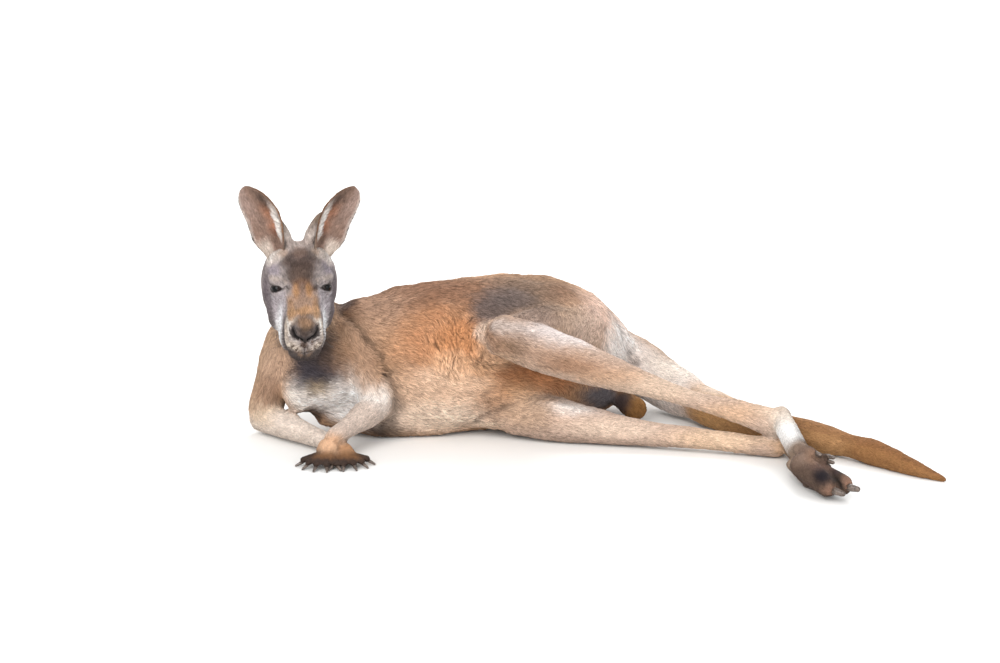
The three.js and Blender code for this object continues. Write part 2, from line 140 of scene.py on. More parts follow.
def normalsOf(mesh):
    return readOut(mesh.vertices, "normal", 3).astype(float)


def trianglesOf(mesh):
    mesh.calc_loop_triangles()
    return readOut(mesh.loop_triangles, "vertices", 3, np.int32)


def netOf(mesh):  # each vertex with each of its neighbours
    pairs = readOut(mesh.edges, "vertices", 2, np.int32)
    ends = np.concatenate([pairs, pairs[:, ::-1]])
    return ends[:, 0], ends[:, 1], np.bincount(ends[:, 0], minlength=len(mesh.vertices)).clip(1)


def neighbourMean(values, net):
    start, end, degree = net
    if values.ndim == 1:
        return np.bincount(start, values[end], len(degree)) / degree
    sums = [np.bincount(start, column[end], len(degree)) for column in values.T]
    return np.stack(sums, 1) / degree[:, None]


def spread(values, net, rounds, share=0.6):
    for _ in range(rounds):
        values = values + share * (neighbourMean(values, net) - values)
    return values


def unit(vectors):
    return vectors / np.maximum(np.linalg.norm(vectors, axis=-1, keepdims=True), 1e-12)


def laidOn(vectors, normals):  # turned to lie on the surface
    return unit(vectors - normals * np.einsum("ij,ij->i", vectors, normals)[:, None])


def newObject(name, mesh):
    made = bpy.data.objects.new(name, mesh)
    bpy.context.scene.collection.objects.link(made)
    return made


def evaluatedMesh(made):
    bpy.context.view_layer.update()
    mesh = bpy.data.meshes.new_from_object(made.evaluated_get(bpy.context.evaluated_depsgraph_get()))
    bpy.data.objects.remove(made)
    return mesh


# The skin is one body from all the flesh, without its seams.
flesh = {
    "voxel": 0.003, "crease": 38, "overlap": 0.0004,  # metres, degrees between faces, metres
    "rounds": 12, "shrink": 0.5, "swell": -0.53, "fill": 90,  # rounds and strengths of the smoothing
    "keep": 0.4,  # share of the faces kept where they can be coarse
    "eyeRadius": 0.013, "eyeAt": (42, 14, 11), "eyeReach": 23,  # metres, then mm on the head
    "headBox": ((-90, -125, -110), (90, 145, 110)), "noseBox": ((-1, 92, -85), (45, 200, 30)),
    "flank": (-78, -100, 190), "flankReach": (88, 90, 84),  # where it wrinkles, in mm of the layout
}
fleshNodes = [name for name in sorted(nodes) if not name.startswith("eye_") and "_claw_" not in name]
earNodes = ["ear_left", "ear_right"]


def roundedCopy(source, rounds=2):
    bm = bmesh.new()
    bm.from_mesh(source.data)
    bmesh.ops.remove_doubles(bm, verts=bm.verts, dist=1e-5)
    crease = math.radians(flesh["crease"])
    for _ in range(rounds):
        bm.normal_update()
        middles = KDTree(len(bm.edges))
        lifts = []
        for edge in bm.edges:
            middle = (edge.verts[0].co + edge.verts[1].co) / 2
            lift = Vector()
            if len(edge.link_faces) == 2 and edge.calc_face_angle(3) < crease:
                facing = (edge.link_faces[0].normal + edge.link_faces[1].normal).normalized()
                for vert in edge.verts:
                    around = Vector()
                    for face in vert.link_faces:
                        if face.normal.dot(facing) > 0.6:
                            around += face.normal * face.calc_area()
                    around.normalize()
                    lift -= around * (middle - vert.co).dot(around) / 4
            middles.insert(middle, len(lifts))
            lifts.append(lift)
        middles.balance()
        before = len(bm.verts)
        bmesh.ops.subdivide_edges(bm, edges=bm.edges[:], cuts=1, use_grid_fill=True)
        bm.verts.ensure_lookup_table()
        for vert in bm.verts[before:]:
            vert.co += lifts[middles.find(vert.co)[1]]
    bm.normal_update()
    for vert in bm.verts:
        vert.co += vert.normal * flesh["overlap"]
    mesh = bpy.data.meshes.new("rounded")
    bm.to_mesh(mesh)
    bm.free()
    return mesh


def eyeCentre(side):
    across, ahead, up = flesh["eyeAt"]
    return fromHead((side * across, ahead, up))


def unionOfFlesh():
    joined = bmesh.new()
    for name in fleshNodes:
        if name not in earNodes:
            joined.from_mesh(roundedCopy(nodes[name]))
    for side in (1, -1):
        spot = Matrix.Translation(Vector(eyeCentre(side)))
        bmesh.ops.create_icosphere(joined, subdivisions=4, radius=flesh["eyeRadius"], matrix=spot)
    mesh = bpy.data.meshes.new("flesh")
    joined.to_mesh(mesh)
    joined.free()
    made = newObject("flesh", mesh)
    remesh = made.modifiers.new("voxels", "REMESH")
    remesh.mode = "VOXEL"
    remesh.voxel_size = flesh["voxel"]
    return evaluatedMesh(made)


def largestShell(mesh):
    bm = bmesh.new()
    bm.from_mesh(mesh)
    seen = set()
    shells = []
    for first in bm.verts:
        if first.index in seen:
            continue
        seen.add(first.index)
        shell = [first]
        for vert in shell:
            for edge in vert.link_edges:
                other = edge.other_vert(vert)
                if other.index not in seen:
                    seen.add(other.index)
                    shell.append(other)
        shells.append(shell)
    shells.sort(key=len)
    for shell in shells[:-1]:
        bmesh.ops.delete(bm, geom=shell, context="VERTS")
    bm.to_mesh(mesh)
    bm.free()
    mesh.update()
    return mesh


def within(points, low, high):
    return np.all((points > low) & (points < high), axis=1)


def near(points, name, margin):  # margin in metres round the node's box
    low, high = (np.array(corner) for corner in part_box(name))
    return within(points, low - margin, high + margin)


def flankDistance(points):  # 1 at the rim of the flank's oval
    return np.linalg.norm((layoutOf(points) - flesh["flank"]) / flesh["flankReach"], axis=1)


def isFlank(points, reach):
    return (flankDistance(points) < reach) & (layoutOf(points)[:, 1] < flesh["flank"][1] + 60)


skinMesh = largestShell(unionOfFlesh())
report(f"voxels: {len(skinMesh.polygons)} faces")
points = coordinates(skinMesh)
net = netOf(skinMesh)
digits = np.zeros(len(points), bool)
for name in ("hand_left", "hand_right", "foot_left", "foot_right"):
    digits |= near(points, name, 0.004)
keepShape = spread(1 - 0.85 * digits, net, 6)[:, None]
rough = points
for _ in range(flesh["rounds"]):
    points = spread(points, net, 1, flesh["shrink"])
    points = spread(points, net, 1, flesh["swell"])
points = rough + (points - rough) * keepShape
tailEnds = near(points, "tail_root", 0.02) | near(points, "tail_tip", 0.02)
tailJoints = (near(points, "tail_middle", 0.02) & tailEnds) | near(points, "tail_root", 0.015)
tailJoints = spread(tailJoints, net, 10)[:, None]
points = spread(points, net, flesh["fill"], tailJoints * 0.6)
setCoordinates(skinMesh, points)

# Creases between the limbs and the body are filled a little, as skin does.
normals = normalsOf(skinMesh)
hollow = np.einsum("ij,ij->i", neighbourMean(points, net) - points, normals)
hollow = smoothStep(spread(hollow, net, 12), 0.00001, 0.00009) * ~digits
hollow = spread(hollow, net, 14)[:, None]
points = spread(points, net, flesh["fill"], hollow * 0.6)
setCoordinates(skinMesh, points)
report("skin smoothed")

made = newObject("flesh", skinMesh)
fine = within(toHead(points), *flesh["headBox"])
fine |= digits | near(points, "scrotum", 0.006) | isFlank(points, 1.15)
coarse = made.vertex_groups.new(name="coarse")
coarse.add(np.flatnonzero(~fine).tolist(), 1.0, "REPLACE")
thin = made.modifiers.new("fewer", "DECIMATE")
thin.ratio = flesh["keep"]
thin.vertex_group = "coarse"
skinMesh = evaluatedMesh(made)


# The eyes, nose, mouth and wrinkled flank get a finer mesh.
def refine(mesh):
    bm = bmesh.new()
    bm.from_mesh(mesh)
    points = np.array([vert.co for vert in bm.verts])
    local = mirror(toHead(points))
    byEye = np.linalg.norm(local - flesh["eyeAt"], axis=1) < flesh["eyeReach"]
    chosen = byEye | within(local, *flesh["noseBox"]) | isFlank(points, 1.1)
    edges = [edge for edge in bm.edges if chosen[edge.verts[0].index] and chosen[edge.verts[1].index]]
    bmesh.ops.subdivide_edges(bm, edges=edges, cuts=1, use_grid_fill=True)
    bmesh.ops.triangulate(bm, faces=bm.faces[:])
    bm.to_mesh(mesh)
    bm.free()
    mesh.update()


refine(skinMesh)
points = coordinates(skinMesh)
net = netOf(skinMesh)


# What each part of the body wears: its colour, the length, width and rise of a tuft in mm, how many tufts
# there are for each square mm, and the way the hair lies.
coatPlan = {
    "trunk": ("b68f70", 15, 1.9, 3.4, 0.24, (1, -0.22, -0.2)),
    "neck": ("ae9078", 15, 1.8, 3.6, 0.28, (0.28, 0.3, -1)),
    "head": ("9a8f8b", 6.2, 0.9, 1.5, 0.62, (0, 1, 0.1)),
    "upper_arm_left": ("ab8b72", 12, 1.6, 2.8, 0.3, (0.3, -0.2, -1)),
    "upper_arm_right": ("b19176", 12, 1.6, 2.8, 0.3, (-0.35, -0.15, -1)),
    "forearm_left": ("cfbcae", 9, 1.3, 1.9, 0.36, (-0.5, -0.8, -0.15)),
    "forearm_right": ("dccbbd", 9, 1.3, 1.9, 0.36, (0.68, -0.72, 0)),
    "hand_left": ("3f312a", 4.5, 1.1, 0.7, 0.5, (-0.1, -1, -0.3)),
    "hand_right": ("3f312a", 4.5, 1.1, 0.7, 0.5, (0.2, -1, -0.3)),
    "thigh_left": ("b69a83", 14, 1.8, 3.2, 0.26, (-0.2, -1, -0.6)),
    "thigh_right": ("ad8461", 13, 1.8, 3.0, 0.26, (-0.4, -1, -0.2)),
    "shank_left": ("c3a895", 11, 1.5, 2.4, 0.32, (1, -0.05, -0.3)),
    "shank_right": ("bea493", 11, 1.5, 2.4, 0.32, (1, -0.2, -0.05)),
    "foot_left": ("5c4a3f", 6, 1.2, 1.1, 0.46, (0.12, -1, -0.12)),
    "foot_right": ("54443a", 6, 1.2, 1.1, 0.46, (0.15, -1, 0)),
    "tail_root": ("dacdc5", 13, 1.7, 2.6, 0.28, (0.75, -0.5, -0.3)),
    "tail_middle": ("ad8359", 11, 1.2, 1.7, 0.4, (0.76, -0.65, -0.03)),
    "tail_tip": ("976c44", 10, 1.1, 1.4, 0.45, (0.7, -0.7, -0.12)),
    "scrotum": ("8d6438", 6, 1.2, 1.6, 0.4, (0.5, -0.5, -0.6)),
}
partNames = list(coatPlan)


def nearestPart(spots):
    corners, faces, owner = [], [], []
    for number, name in enumerate(partNames):
        mesh = nodes[name].data
        corners.append(coordinates(mesh))
        made = trianglesOf(mesh) + sum(len(done) for done in corners[:-1])
        faces.append(made)
        owner += [number] * len(made)
    tree = BVHTree.FromPolygons(np.concatenate(corners).tolist(), np.concatenate(faces).tolist())
    return np.array([owner[tree.find_nearest(spot)[2]] for spot in spots])


parts = nearestPart(points)


def partMask(*names):
    return np.isin(parts, [partNames.index(name) for name in names])


def ofParts(index):
    table = np.array([coatPlan[name][index] for name in partNames], float)
    return table[parts]


isHead = partMask("head")
length = spread(ofParts(1), net, 14)
width = spread(ofParts(2), net, 14)
rise = spread(ofParts(3), net, 14)
density = spread(ofParts(4), net, 14)
lie = spread(unit(ofParts(5)), net, 30)
colour = np.array([linear(coatPlan[name][0]) for name in partNames])[parts]
colour = spread(colour, net, 22)
contrast = np.where(partMask("trunk", "neck"), 0.85, 0.4)
contrast[partMask("head")] = 1.5
contrast[partMask("tail_middle", "tail_tip", "foot_left", "foot_right", "hand_left", "hand_right")] = 0.25
for knee, reach, strong in (((8, -150, 205), 0.07, 1.1), ((40, -100, 50), 0.08, 0.9)):
    contrast[np.linalg.norm(points - place(knee), axis=1) < reach] = strong
contrast = spread(contrast, net, 20)
bare = np.zeros(len(points))

# On the head the hair runs back from the nose, parting over the eyes.
local = toHead(points)
mirrored = mirror(local)
sideSign = np.where(local[:, 0] < 0, -1.0, 1.0)
backwards = np.column_stack([0.35 * sideSign * smoothStep(mirrored[:, 0], 4, 40), -np.ones(len(points)),
                             0.25 - 0.9 * smoothStep(-local[:, 2], 10, 70)])
backwards = unit(backwards) * (1, -1, 1) @ headTurn.T
headShare = spread(isHead, net, 20)[:, None]
lie = unit(lie * (1 - headShare) + backwards * headShare)

# The skin lies under the solids' surface by the coat's depth.
normals = normalsOf(skinMesh)
depth = rise + 0.4
points = points - normals * depth[:, None] / 1000
setCoordinates(skinMesh, points)
report(f"parts found, {len(points)} points")


# The head's shape: lids, nose, nostrils, lips. Lengths in mm, angles in degrees.
face = {
    "gaze": (38, 27), "openingHalf": (57, 22, 26), "level": -0.24,  # outwards, up; across, up, down; slope
    "lid": 13.95, "under": 11.4,  # from the eye's middle to the lids, and to the skin hidden behind its front
    "nose": (0, -6, 26, 20),  # across, up, half its width, half its height
    "nostril": ((6.5, -22), (17, -15), (23.5, 1)), "nostrilDepth": 5.5,  # across and up, along the slit
    "cornerMark": -5.5, "tearMark": -4.5,  # degrees inside the opening, as lidGap counts them
    "lobeLean": (0.3, -0.45, -0.05), "chinDrop": (1.5, -6.5),  # side, ahead, up; ahead, up
}
noMark = -90.0  # far outside the eyes' openings


def gazeAxes(side):  # ahead of the eye, outwards and upwards
    out, up = (math.radians(angle) for angle in face["gaze"])
    forward = np.array([side * math.sin(out) * math.cos(up), math.cos(out) * math.cos(up), math.sin(up)])
    outwards = np.array([side * math.cos(out), -math.sin(out), 0])
    above = np.array([-side * math.sin(out) * math.sin(up), -math.cos(out) * math.sin(up), math.cos(up)])
    return forward, outwards, above


def eyeAngles(spots, side):  # distance from the eye's middle, and degrees outwards and upwards of the gaze
    forward, outwards, above = gazeAxes(side)
    away = spots - np.array(flesh["eyeAt"]) * (side, 1, 1)
    radius = np.linalg.norm(away, axis=1)
    across = np.degrees(np.arctan2(away @ outwards, away @ forward))
    high = np.degrees(np.arcsin(np.clip(away @ above / radius, -1, 1)))
    return radius, across, high


def lidGap(across, high):  # degrees inside the opening, negative outside it
    half, upper, lower = face["openingHalf"]
    t = np.clip(np.abs(across) / half, 0, 1)
    top = upper * (1 - t ** 3.2) + face["level"] * across
    bottom = -lower * (1 - t ** 1.8) + face["level"] * across
    return np.minimum(np.minimum(top - high, high - bottom), (half - np.abs(across)) * 0.8)


def shapeEyes(points):  # the skin round the eyes, and each point's mark: its degrees inside the opening
    local = toHead(points)
    marks = np.full(len(points), noMark)
    for side in (1, -1):
        radius, across, high = eyeAngles(local, side)
        gap = lidGap(across, high)
        close = (radius < 26) & (np.abs(across) < 110) & (np.abs(high) < 85)
        marks = np.where(close, np.maximum(marks, gap), marks)
        corner = bump(high, face["level"] * across + 3, 9)
        corner *= smoothStep(across, 44, 56) * (1 - smoothStep(across, 74, 96))
        marks = np.where(close & (corner > 0.4), np.maximum(marks, face["cornerMark"]), marks)
        lidRadius = face["lid"] + 0.5 * bump(-gap, 5, 5) - 0.9 * bump(-gap, 19, 6) * (high > 0)
        wanted = lidRadius + smoothStep(-gap, 6, 42) * (np.maximum(radius, lidRadius) - lidRadius)
        wanted = np.where(gap > 0, face["under"], wanted)
        centre = np.array(flesh["eyeAt"]) * (side, 1, 1)
        moved = centre + (local - centre) * (wanted / radius)[:, None]
        local = np.where(close[:, None], moved, local)
        # The tear line runs in from the inner corner.
        start = centre + np.array([-side * 2, 12.0, 8.5])
        t, offLine = alongLine(local, start, start + np.array([-side * 15, 5.5, 8.0]))
        tear = (1 - smoothStep(offLine, 0.8, 3.2)) * (1 - 0.5 * t)
        local[:, 0] -= side * tear * 0.9
        local[:, 1] -= tear * 1.2
        marks = np.maximum(marks, np.where(tear > 0.3, face["tearMark"], noMark))
    return fromHead(local), marks


def noseField(local):
    across, level, halfWide, halfHigh = face["nose"]
    inside = np.hypot((local[:, 0] - across) / halfWide, (local[:, 2] - level) / halfHigh)
    return np.where(local[:, 1] > 96, inside, 9.0)


def nostrilField(local):
    line = face["nostril"]
    flat = np.column_stack([np.abs(local[:, 0]), local[:, 2]])
    best = np.full(len(flat), 99.0)
    for start, finish, thick in zip(line[:-1], line[1:], (1.6, 0.2)):
        best = np.minimum(best, alongLine(flat, start, finish)[1] - thick)
    return np.where(local[:, 1] > 100, best, 99.0)


def mouthLevel(local):
    side = np.abs(local[:, 0])
    front = -56 + 12 * np.clip(side / 24, 0, 1) ** 1.1 + 2.5 * bump(side, 0, 7)
    back = np.clip((118 - local[:, 1]) / 50, 0, 1)
    return front + 4 * back * np.sin(back * 5)


def mouthField(local):  # 1 along the line of the lips
    line = bump(local[:, 2], mouthLevel(local), 3.4)
    return line * (local[:, 1] > 66) * (np.abs(local[:, 0]) < 46) * smoothStep(local[:, 1], 66, 76)


points, eyeMarks = shapeEyes(points)
local = toHead(points)
lean = np.maximum(local[:, 2] - 64, 0) * isHead * (local[:, 1] < -45)  # the lobes at the ears' roots
leanWay = np.column_stack([np.sign(local[:, 0]), np.ones((len(local), 2))]) * face["lobeLean"]
local += leanWay * lean[:, None]
chinShare = smoothStep(-local[:, 2], 50, 64) * smoothStep(local[:, 1], 66, 100) * isHead
local[:, 1:] += np.array(face["chinDrop"]) * chinShare[:, None]
points = fromHead(local)
setCoordinates(skinMesh, points)
normals = normalsOf(skinMesh)
local = toHead(points)
nose = noseField(local)
nostril = nostrilField(local)
mouth = mouthField(local)
push = 1.7 * (1 - smoothStep(nose, 0.84, 1.04)) - 1.2 * bump(nose, 1.1, 0.16)
push -= face["nostrilDepth"] * (1 - smoothStep(nostril, 0.6, 3.4)) - 1.1 * bump(nostril, 5.0, 2.4)
cleft = bump(local[:, 0], 0, 2.0) * smoothStep(-local[:, 2], 10, 22)
cleft *= (local[:, 1] > 112) & (local[:, 2] > -60)
push -= 1.5 * cleft + 3.4 * mouth
lips = oval(mirrored[:, 0], local[:, 2], (14, -38), (15, 12)) * (local[:, 1] > 96)
push += 1.6 * lips
brow = oval(mirrored[:, 0], local[:, 2], (48, 31), (16, 7)) * (local[:, 1] > -20)
push += 0.8 * brow
hollowCheek = oval(local[:, 1], local[:, 2], (52, -8), (30, 16)) * (mirrored[:, 0] > 22)
push -= 1.2 * hollowCheek
points = points + normals * (push * isHead)[:, None] / 1000
report("face shaped")


# Folds of the body, in mm of the layout.
folds = {"apart": 10.5, "deep": 2.0, "fuller": 5.0}  # the flank's wrinkles, and the swell of the scrotum
creases = {  # lines on the skin: how wide, how deep, how much painted shade darkens them, and where they run
    "behind the left arm": (15, 5.8, 0.52, [
        (-305, -50, 238), (-277, -84, 232), (-250, -101, 203), (-226, -115, 168),
        (-210, -106, 127), (-197, -101, 91), (-194, -97, 62), (-207, -99, 40)]),
    "beside the neck": (42, 11, 0.3, [(-322, -20, 262), (-300, 10, 264), (-286, 60, 262)]),
    "belly fold": (12, 4.5, 0.6, [
        (-84, -63, 10), (-60, -77, 29), (-38, -93, 49), (-17, -100, 61), (13, -98, 74)]),
    "belly cross fold": (11, 3.5, 0.5, [
        (-34, -103, 97), (-26, -99, 76), (-23, -97, 62), (-15, -96, 40), (-8, -92, 22)]),
    "under the rump": (18, 4.0, 0.4, [
        (205, 108, 205), (219, 111, 193), (235, 75, 164), (249, 81, 129), (259, 91, 103)]),
    "under the left thigh": (15, 4.0, 0.55, [
        (0, -150, 178), (46, -150, 165), (95, -150, 150), (150, -150, 137)]),
    "between the great toes": (11, 7.5, 0.8, [
        (578, -418, 62), (588, -462, 50), (594, -484, 40), (599, -496, 26)]),
    "breast line": (10, 2.5, 0.3, [(-357, -104, 96), (-338, -104, 74), (-312, -99, 60)]),
}


def awayFrom(spots, line):
    best = np.full(len(spots), 1e9)
    for start, finish in zip(line[:-1], line[1:]):
        best = np.minimum(best, alongLine(spots, start, finish)[1])
    return best


drawn = layoutOf(points)
flankShare = 1 - smoothStep(flankDistance(points), 0.45, 1.1)
ripple = drawn[:, 0] + 0.3 * drawn[:, 2] + 8 * wobble(points, 0.045, 3) + 3.5 * wobble(points, 0.018, 4)
ripple = np.sin(ripple * 2 * math.pi / folds["apart"]) * np.clip(0.6 + 0.6 * wobble(points, 0.03, 5), 0, 1.2)
ripple = np.where(ripple < 0, -np.abs(ripple) ** 1.2, np.abs(ripple) ** 0.8)
wrinkle = flankShare * partMask("trunk") * ripple
crease = np.zeros(len(points))
sunk = np.zeros(len(points))
for broad, deep, dark, line in creases.values():
    share = bump(awayFrom(drawn, line), 0, broad)
    sunk = np.maximum(sunk, share * deep)
    # The share of painted shade along each crease.
    crease = np.maximum(crease, share ** 1.5 * dark)
soft = wobble(points, 0.09, 8) * 0.4 + wobble(points, 0.035, 9) * 0.25
smooth = partMask("head", "hand_left", "hand_right", "foot_left", "foot_right", "tail_middle", "tail_tip")
soft = soft * ~smooth
stalk = bump(np.linalg.norm(drawn - (226, 12, 46), axis=1), 0, 40)
fuller = folds["fuller"] * (1 + 2 * stalk) * spread(partMask("scrotum"), net, 8)
points = points + normals * (wrinkle * folds["deep"] + soft + fuller - sunk)[:, None] / 1000
points[:, 2] = np.maximum(points[:, 2], 0.0012)
setCoordinates(skinMesh, points)
normals = normalsOf(skinMesh)
onTrunk = (flankShare * partMask("trunk"))[:, None]
lie = laidOn(lie, normals)
lie = laidOn(lie * (1 - 0.85 * onTrunk) + 0.85 * onTrunk * unit(np.array([0.1, -0.3, -1.0])), normals)
lie = unit(spread(lie, net, 6))
length = length * (1 - 0.45 * onTrunk[:, 0])
rise = rise * (1 - 0.5 * onTrunk[:, 0])
byEye = 1 - smoothStep(-eyeMarks, 6, 30)
length = length * (1 - 0.7 * byEye)
rise = rise * (1 - 0.6 * byEye)
drawn = layoutOf(points)
local = toHead(points)
report("body shaped")


# Markings, the same for the skin and the coat. Among them are painted shade and painted highlights, noted
# where they stand.
bodyMarks = [  # where, how far it reaches, colour, strength, parts
    ((-160, -20, 268), (200, 100, 46), "84604b", 0.9, "trunk"),
    ((-110, -100, 205), (112, 80, 78), "b98560", 0.9, "trunk"),
    ((-78, -110, 190), (56, 66, 60), "bd8256", 0.7, "trunk"),
    ((-84, -109, 150), (66, 60, 40), "d6a985", 0.85, "trunk"),
    ((-16, -110, 190), (34, 60, 60), "cfa482", 0.85, "trunk"),
    ((-32, -118, 222), (20, 40, 24), "d2bba9", 0.75, "trunk"),
    ((-40, -104, 116), (50, 50, 46), "cfa07a", 0.7, "trunk"),
    ((-120, -112, 105), (120, 50, 50), "dbb99e", 0.85, "trunk"),
    ((-120, -95, 45), (180, 60, 44), "ead0ba", 0.9, "trunk"),
    ((44, 0, 266), (88, 110, 50), "7c6758", 0.9, "trunk thigh_left"),
    # Painted shade: the grey-brown saddle in the hollow between the flank and the left thigh, and on the back
    # above it.
    ((-22, -50, 250), (46, 64, 42), "6b5d58", 0.92, "trunk"),
    ((20, -36, 262), (50, 50, 30), "6c5f5a", 0.85, "trunk"),
    ((110, 60, 268), (60, 80, 30), "94775f", 0.6, "trunk"),
    ((196, 70, 215), (90, 90, 56), "dabaa8", 0.9, "trunk thigh_left"),
    ((124, 20, 268), (50, 60, 24), "8a6b58", 0.7, "trunk"),
    ((224, 70, 150), (56, 90, 66), "f8ede6", 0.95, "trunk tail_root"),
    ((-232, -40, 240), (76, 72, 50), "ab8a73", 0.8, "trunk upper_arm_left neck"),
    ((-262, -104, 180), (36, 40, 62), "b08d73", 0.85, "trunk upper_arm_left"),
    ((-250, -104, 128), (44, 40, 34), "b8967c", 0.8, "trunk upper_arm_left"),
    # Painted shade on the underside of the trunk near the floor, behind the left elbow.
    ((-228, -90, 20), (50, 50, 28), "382b24", 0.95, "trunk"),
    ((-290, -88, 84), (66, 50, 58), "fdf5ef", 0.97, "trunk upper_arm_left"),
    ((-374, -105, 96), (46, 50, 40), "ede1d6", 0.95, "trunk upper_arm_right"),
    ((-330, -100, 78), (64, 50, 38), "fbf0e8", 0.97, "trunk upper_arm_left"),
    # Painted shade under the chest.
    ((-368, -70, 52), (44, 50, 15), "513d31", 0.85, "trunk"),
    ((-357, -108, 142), (62, 58, 44), "423e45", 0.98, "trunk neck"),
    ((-362, -90, 190), (66, 70, 42), "3e383a", 0.95, "trunk neck"),
    # Painted shadow of the head, where the back meets the neck.
    ((-300, -30, 250), (26, 34, 15), "454045", 0.8, "trunk neck"),
    ((-346, -108, 107), (27, 50, 12), "a5864f", 0.75, "trunk"),
    ((44, -80, 126), (66, 60, 34), "935a33", 0.9, "trunk thigh_right"),
    ((96, -54, 112), (66, 60, 28), "c0845a", 0.9, "trunk thigh_right"),
    ((30, -92, 98), (62, 46, 20), "cda37c", 0.6, "trunk"),
    ((-18, -96, 74), (44, 40, 38), "b48a6b", 0.7, "trunk"),
    # Painted shade in the groin beside the scrotum, on the right thigh, the tail's root and the trunk.
    ((196, 16, 60), (64, 74, 42), "605d61", 0.95, "thigh_right tail_root trunk"),
    ((60, -100, 242), (70, 60, 28), "9a8376", 0.8, "thigh_left trunk shank_left"),
    ((165, -30, 196), (70, 80, 50), "cbb19f", 0.8, "thigh_left trunk"),
    ((8, -165, 212), (56, 60, 50), "9c7a62", 0.9, "shank_left thigh_left trunk"),
    ((22, -168, 210), (32, 36, 22), "866a54", 0.85, "shank_left thigh_left"),
    # Painted highlight along the top of the knee.
    ((8, -160, 238), (44, 30, 12), "cdbfb6", 0.7, "shank_left thigh_left trunk"),
    ((6, -160, 184), (30, 34, 14), "c9a88c", 0.7, "shank_left"),
    ((96, -182, 196), (60, 40, 26), "ae8c74", 0.75, "shank_left"),
    ((128, -184, 172), (74, 44, 20), "9d765a", 0.8, "shank_left"),
    ((200, -176, 150), (80, 44, 18), "c39a78", 0.6, "shank_left"),
    # Painted highlight along the top edge of the left shank.
    ((84, -150, 232), (60, 40, 14), "dfd3cf", 0.8, "shank_left thigh_left"),
    ((150, -150, 214), (150, 40, 15), "e3d6d0", 0.85, "shank_left thigh_left"),
    ((300, -180, 130), (110, 44, 30), "dcc3ab", 0.6, "shank_left"),
    ((420, -186, 84), (70, 44, 20), "d3ae8d", 0.7, "shank_left"),
    ((56, -100, 60), (66, 60, 44), "b99a80", 0.8, "shank_right trunk"),
    ((140, -130, 56), (60, 50, 30), "c9ac98", 0.7, "shank_right"),
    ((146, -119, 74), (66, 30, 14), "f1e7e0", 0.85, "shank_right"),
    ((200, -150, 40), (110, 50, 24), "dcc4af", 0.7, "shank_right"),
    ((400, -180, 30), (120, 50, 26), "dfbfa0", 0.8, "shank_right"),
    ((330, 104, 84), (62, 60, 62), "e4d5c7", 0.9, "tail_root"),
    ((388, 30, 50), (34, 40, 46), "c9a583", 0.8, "tail_root tail_middle"),
    ((410, 0, 84), (60, 60, 26), "d9c6b6", 0.85, "tail_middle tail_root"),
    ((400, -30, 34), (60, 50, 36), "c79a68", 0.7, "tail_middle"),
    ((310, 178, 96), (140, 72, 100), "a07a58", 0.85, "tail_root trunk"),
    ((512, -262, 84), (46, 104, 54), "f5f1ec", 0.97, "foot_left"),
    ((508, -184, 84), (40, 38, 44), "d8bda5", 0.7, "foot_left shank_left"),
    ((500, -330, 40), (30, 60, 30), "b39f8c", 0.8, "foot_left"),
    ((540, -352, 52), (40, 30, 40), "9c8470", 0.7, "foot_left"),
    ((500, -400, 30), (24, 60, 24), "7c6554", 0.7, "foot_left"),
    ((575, -440, 62), (34, 34, 22), "6a5146", 0.8, "foot_left foot_right"),
    ((534, -402, 62), (28, 34, 22), "806a5c", 0.85, "foot_left"),
    ((556, -412, 66), (16, 24, 16), "8c6e5a", 0.8, "foot_left"),
    ((568, -468, 46), (22, 28, 20), "1a151c", 0.96, "foot_left"),
    ((600, -450, 58), (16, 26, 18), "352a30", 0.85, "foot_right"),
    ((584, -490, 22), (22, 22, 15), "8a6a58", 0.85, "foot_left"),
    ((620, -482, 38), (18, 26, 20), "94705c", 0.85, "foot_right"),
    ((528, -205, 62), (40, 50, 52), "e2d2c2", 0.85, "foot_left shank_left shank_right"),
    ((528, -205, 30), (40, 60, 40), "c9a583", 0.85, "foot_right shank_right"),
    ((545, -300, 30), (40, 46, 30), "8d7461", 0.7, "foot_right"),
    ((-312, -240, 40), (34, 32, 26), "d3a987", 0.95, "forearm_left hand_left"),
    ((-288, -226, 26), (32, 32, 22), "c3946c", 0.92, "forearm_right hand_right"),
    ((-318, -268, 24), (34, 12, 14), "8f6440", 0.6, "hand_left"),
    ((-276, -262, 24), (34, 14, 14), "8f6440", 0.6, "hand_right"),
    ((-442, -50, 42), (34, 44, 28), "d6bfa6", 0.85, "upper_arm_right forearm_right"),
    ((-442, -60, 86), (34, 50, 24), "96765f", 0.8, "upper_arm_right forearm_right"),
    ((-232, -105, 90), (36, 36, 36), "f8ece2", 0.9, "upper_arm_left forearm_left"),
    ((-430, -60, 106), (40, 50, 36), "8f705b", 0.75, "upper_arm_right"),
    ((-424, -63, 150), (44, 50, 40), "bd9e87", 0.7, "upper_arm_right trunk"),
    ((218, 12, 50), (22, 36, 30), "4d4547", 0.92, "scrotum"),
    ((240, 12, 50), (16, 30, 24), "3f3536", 0.92, "scrotum"),
]
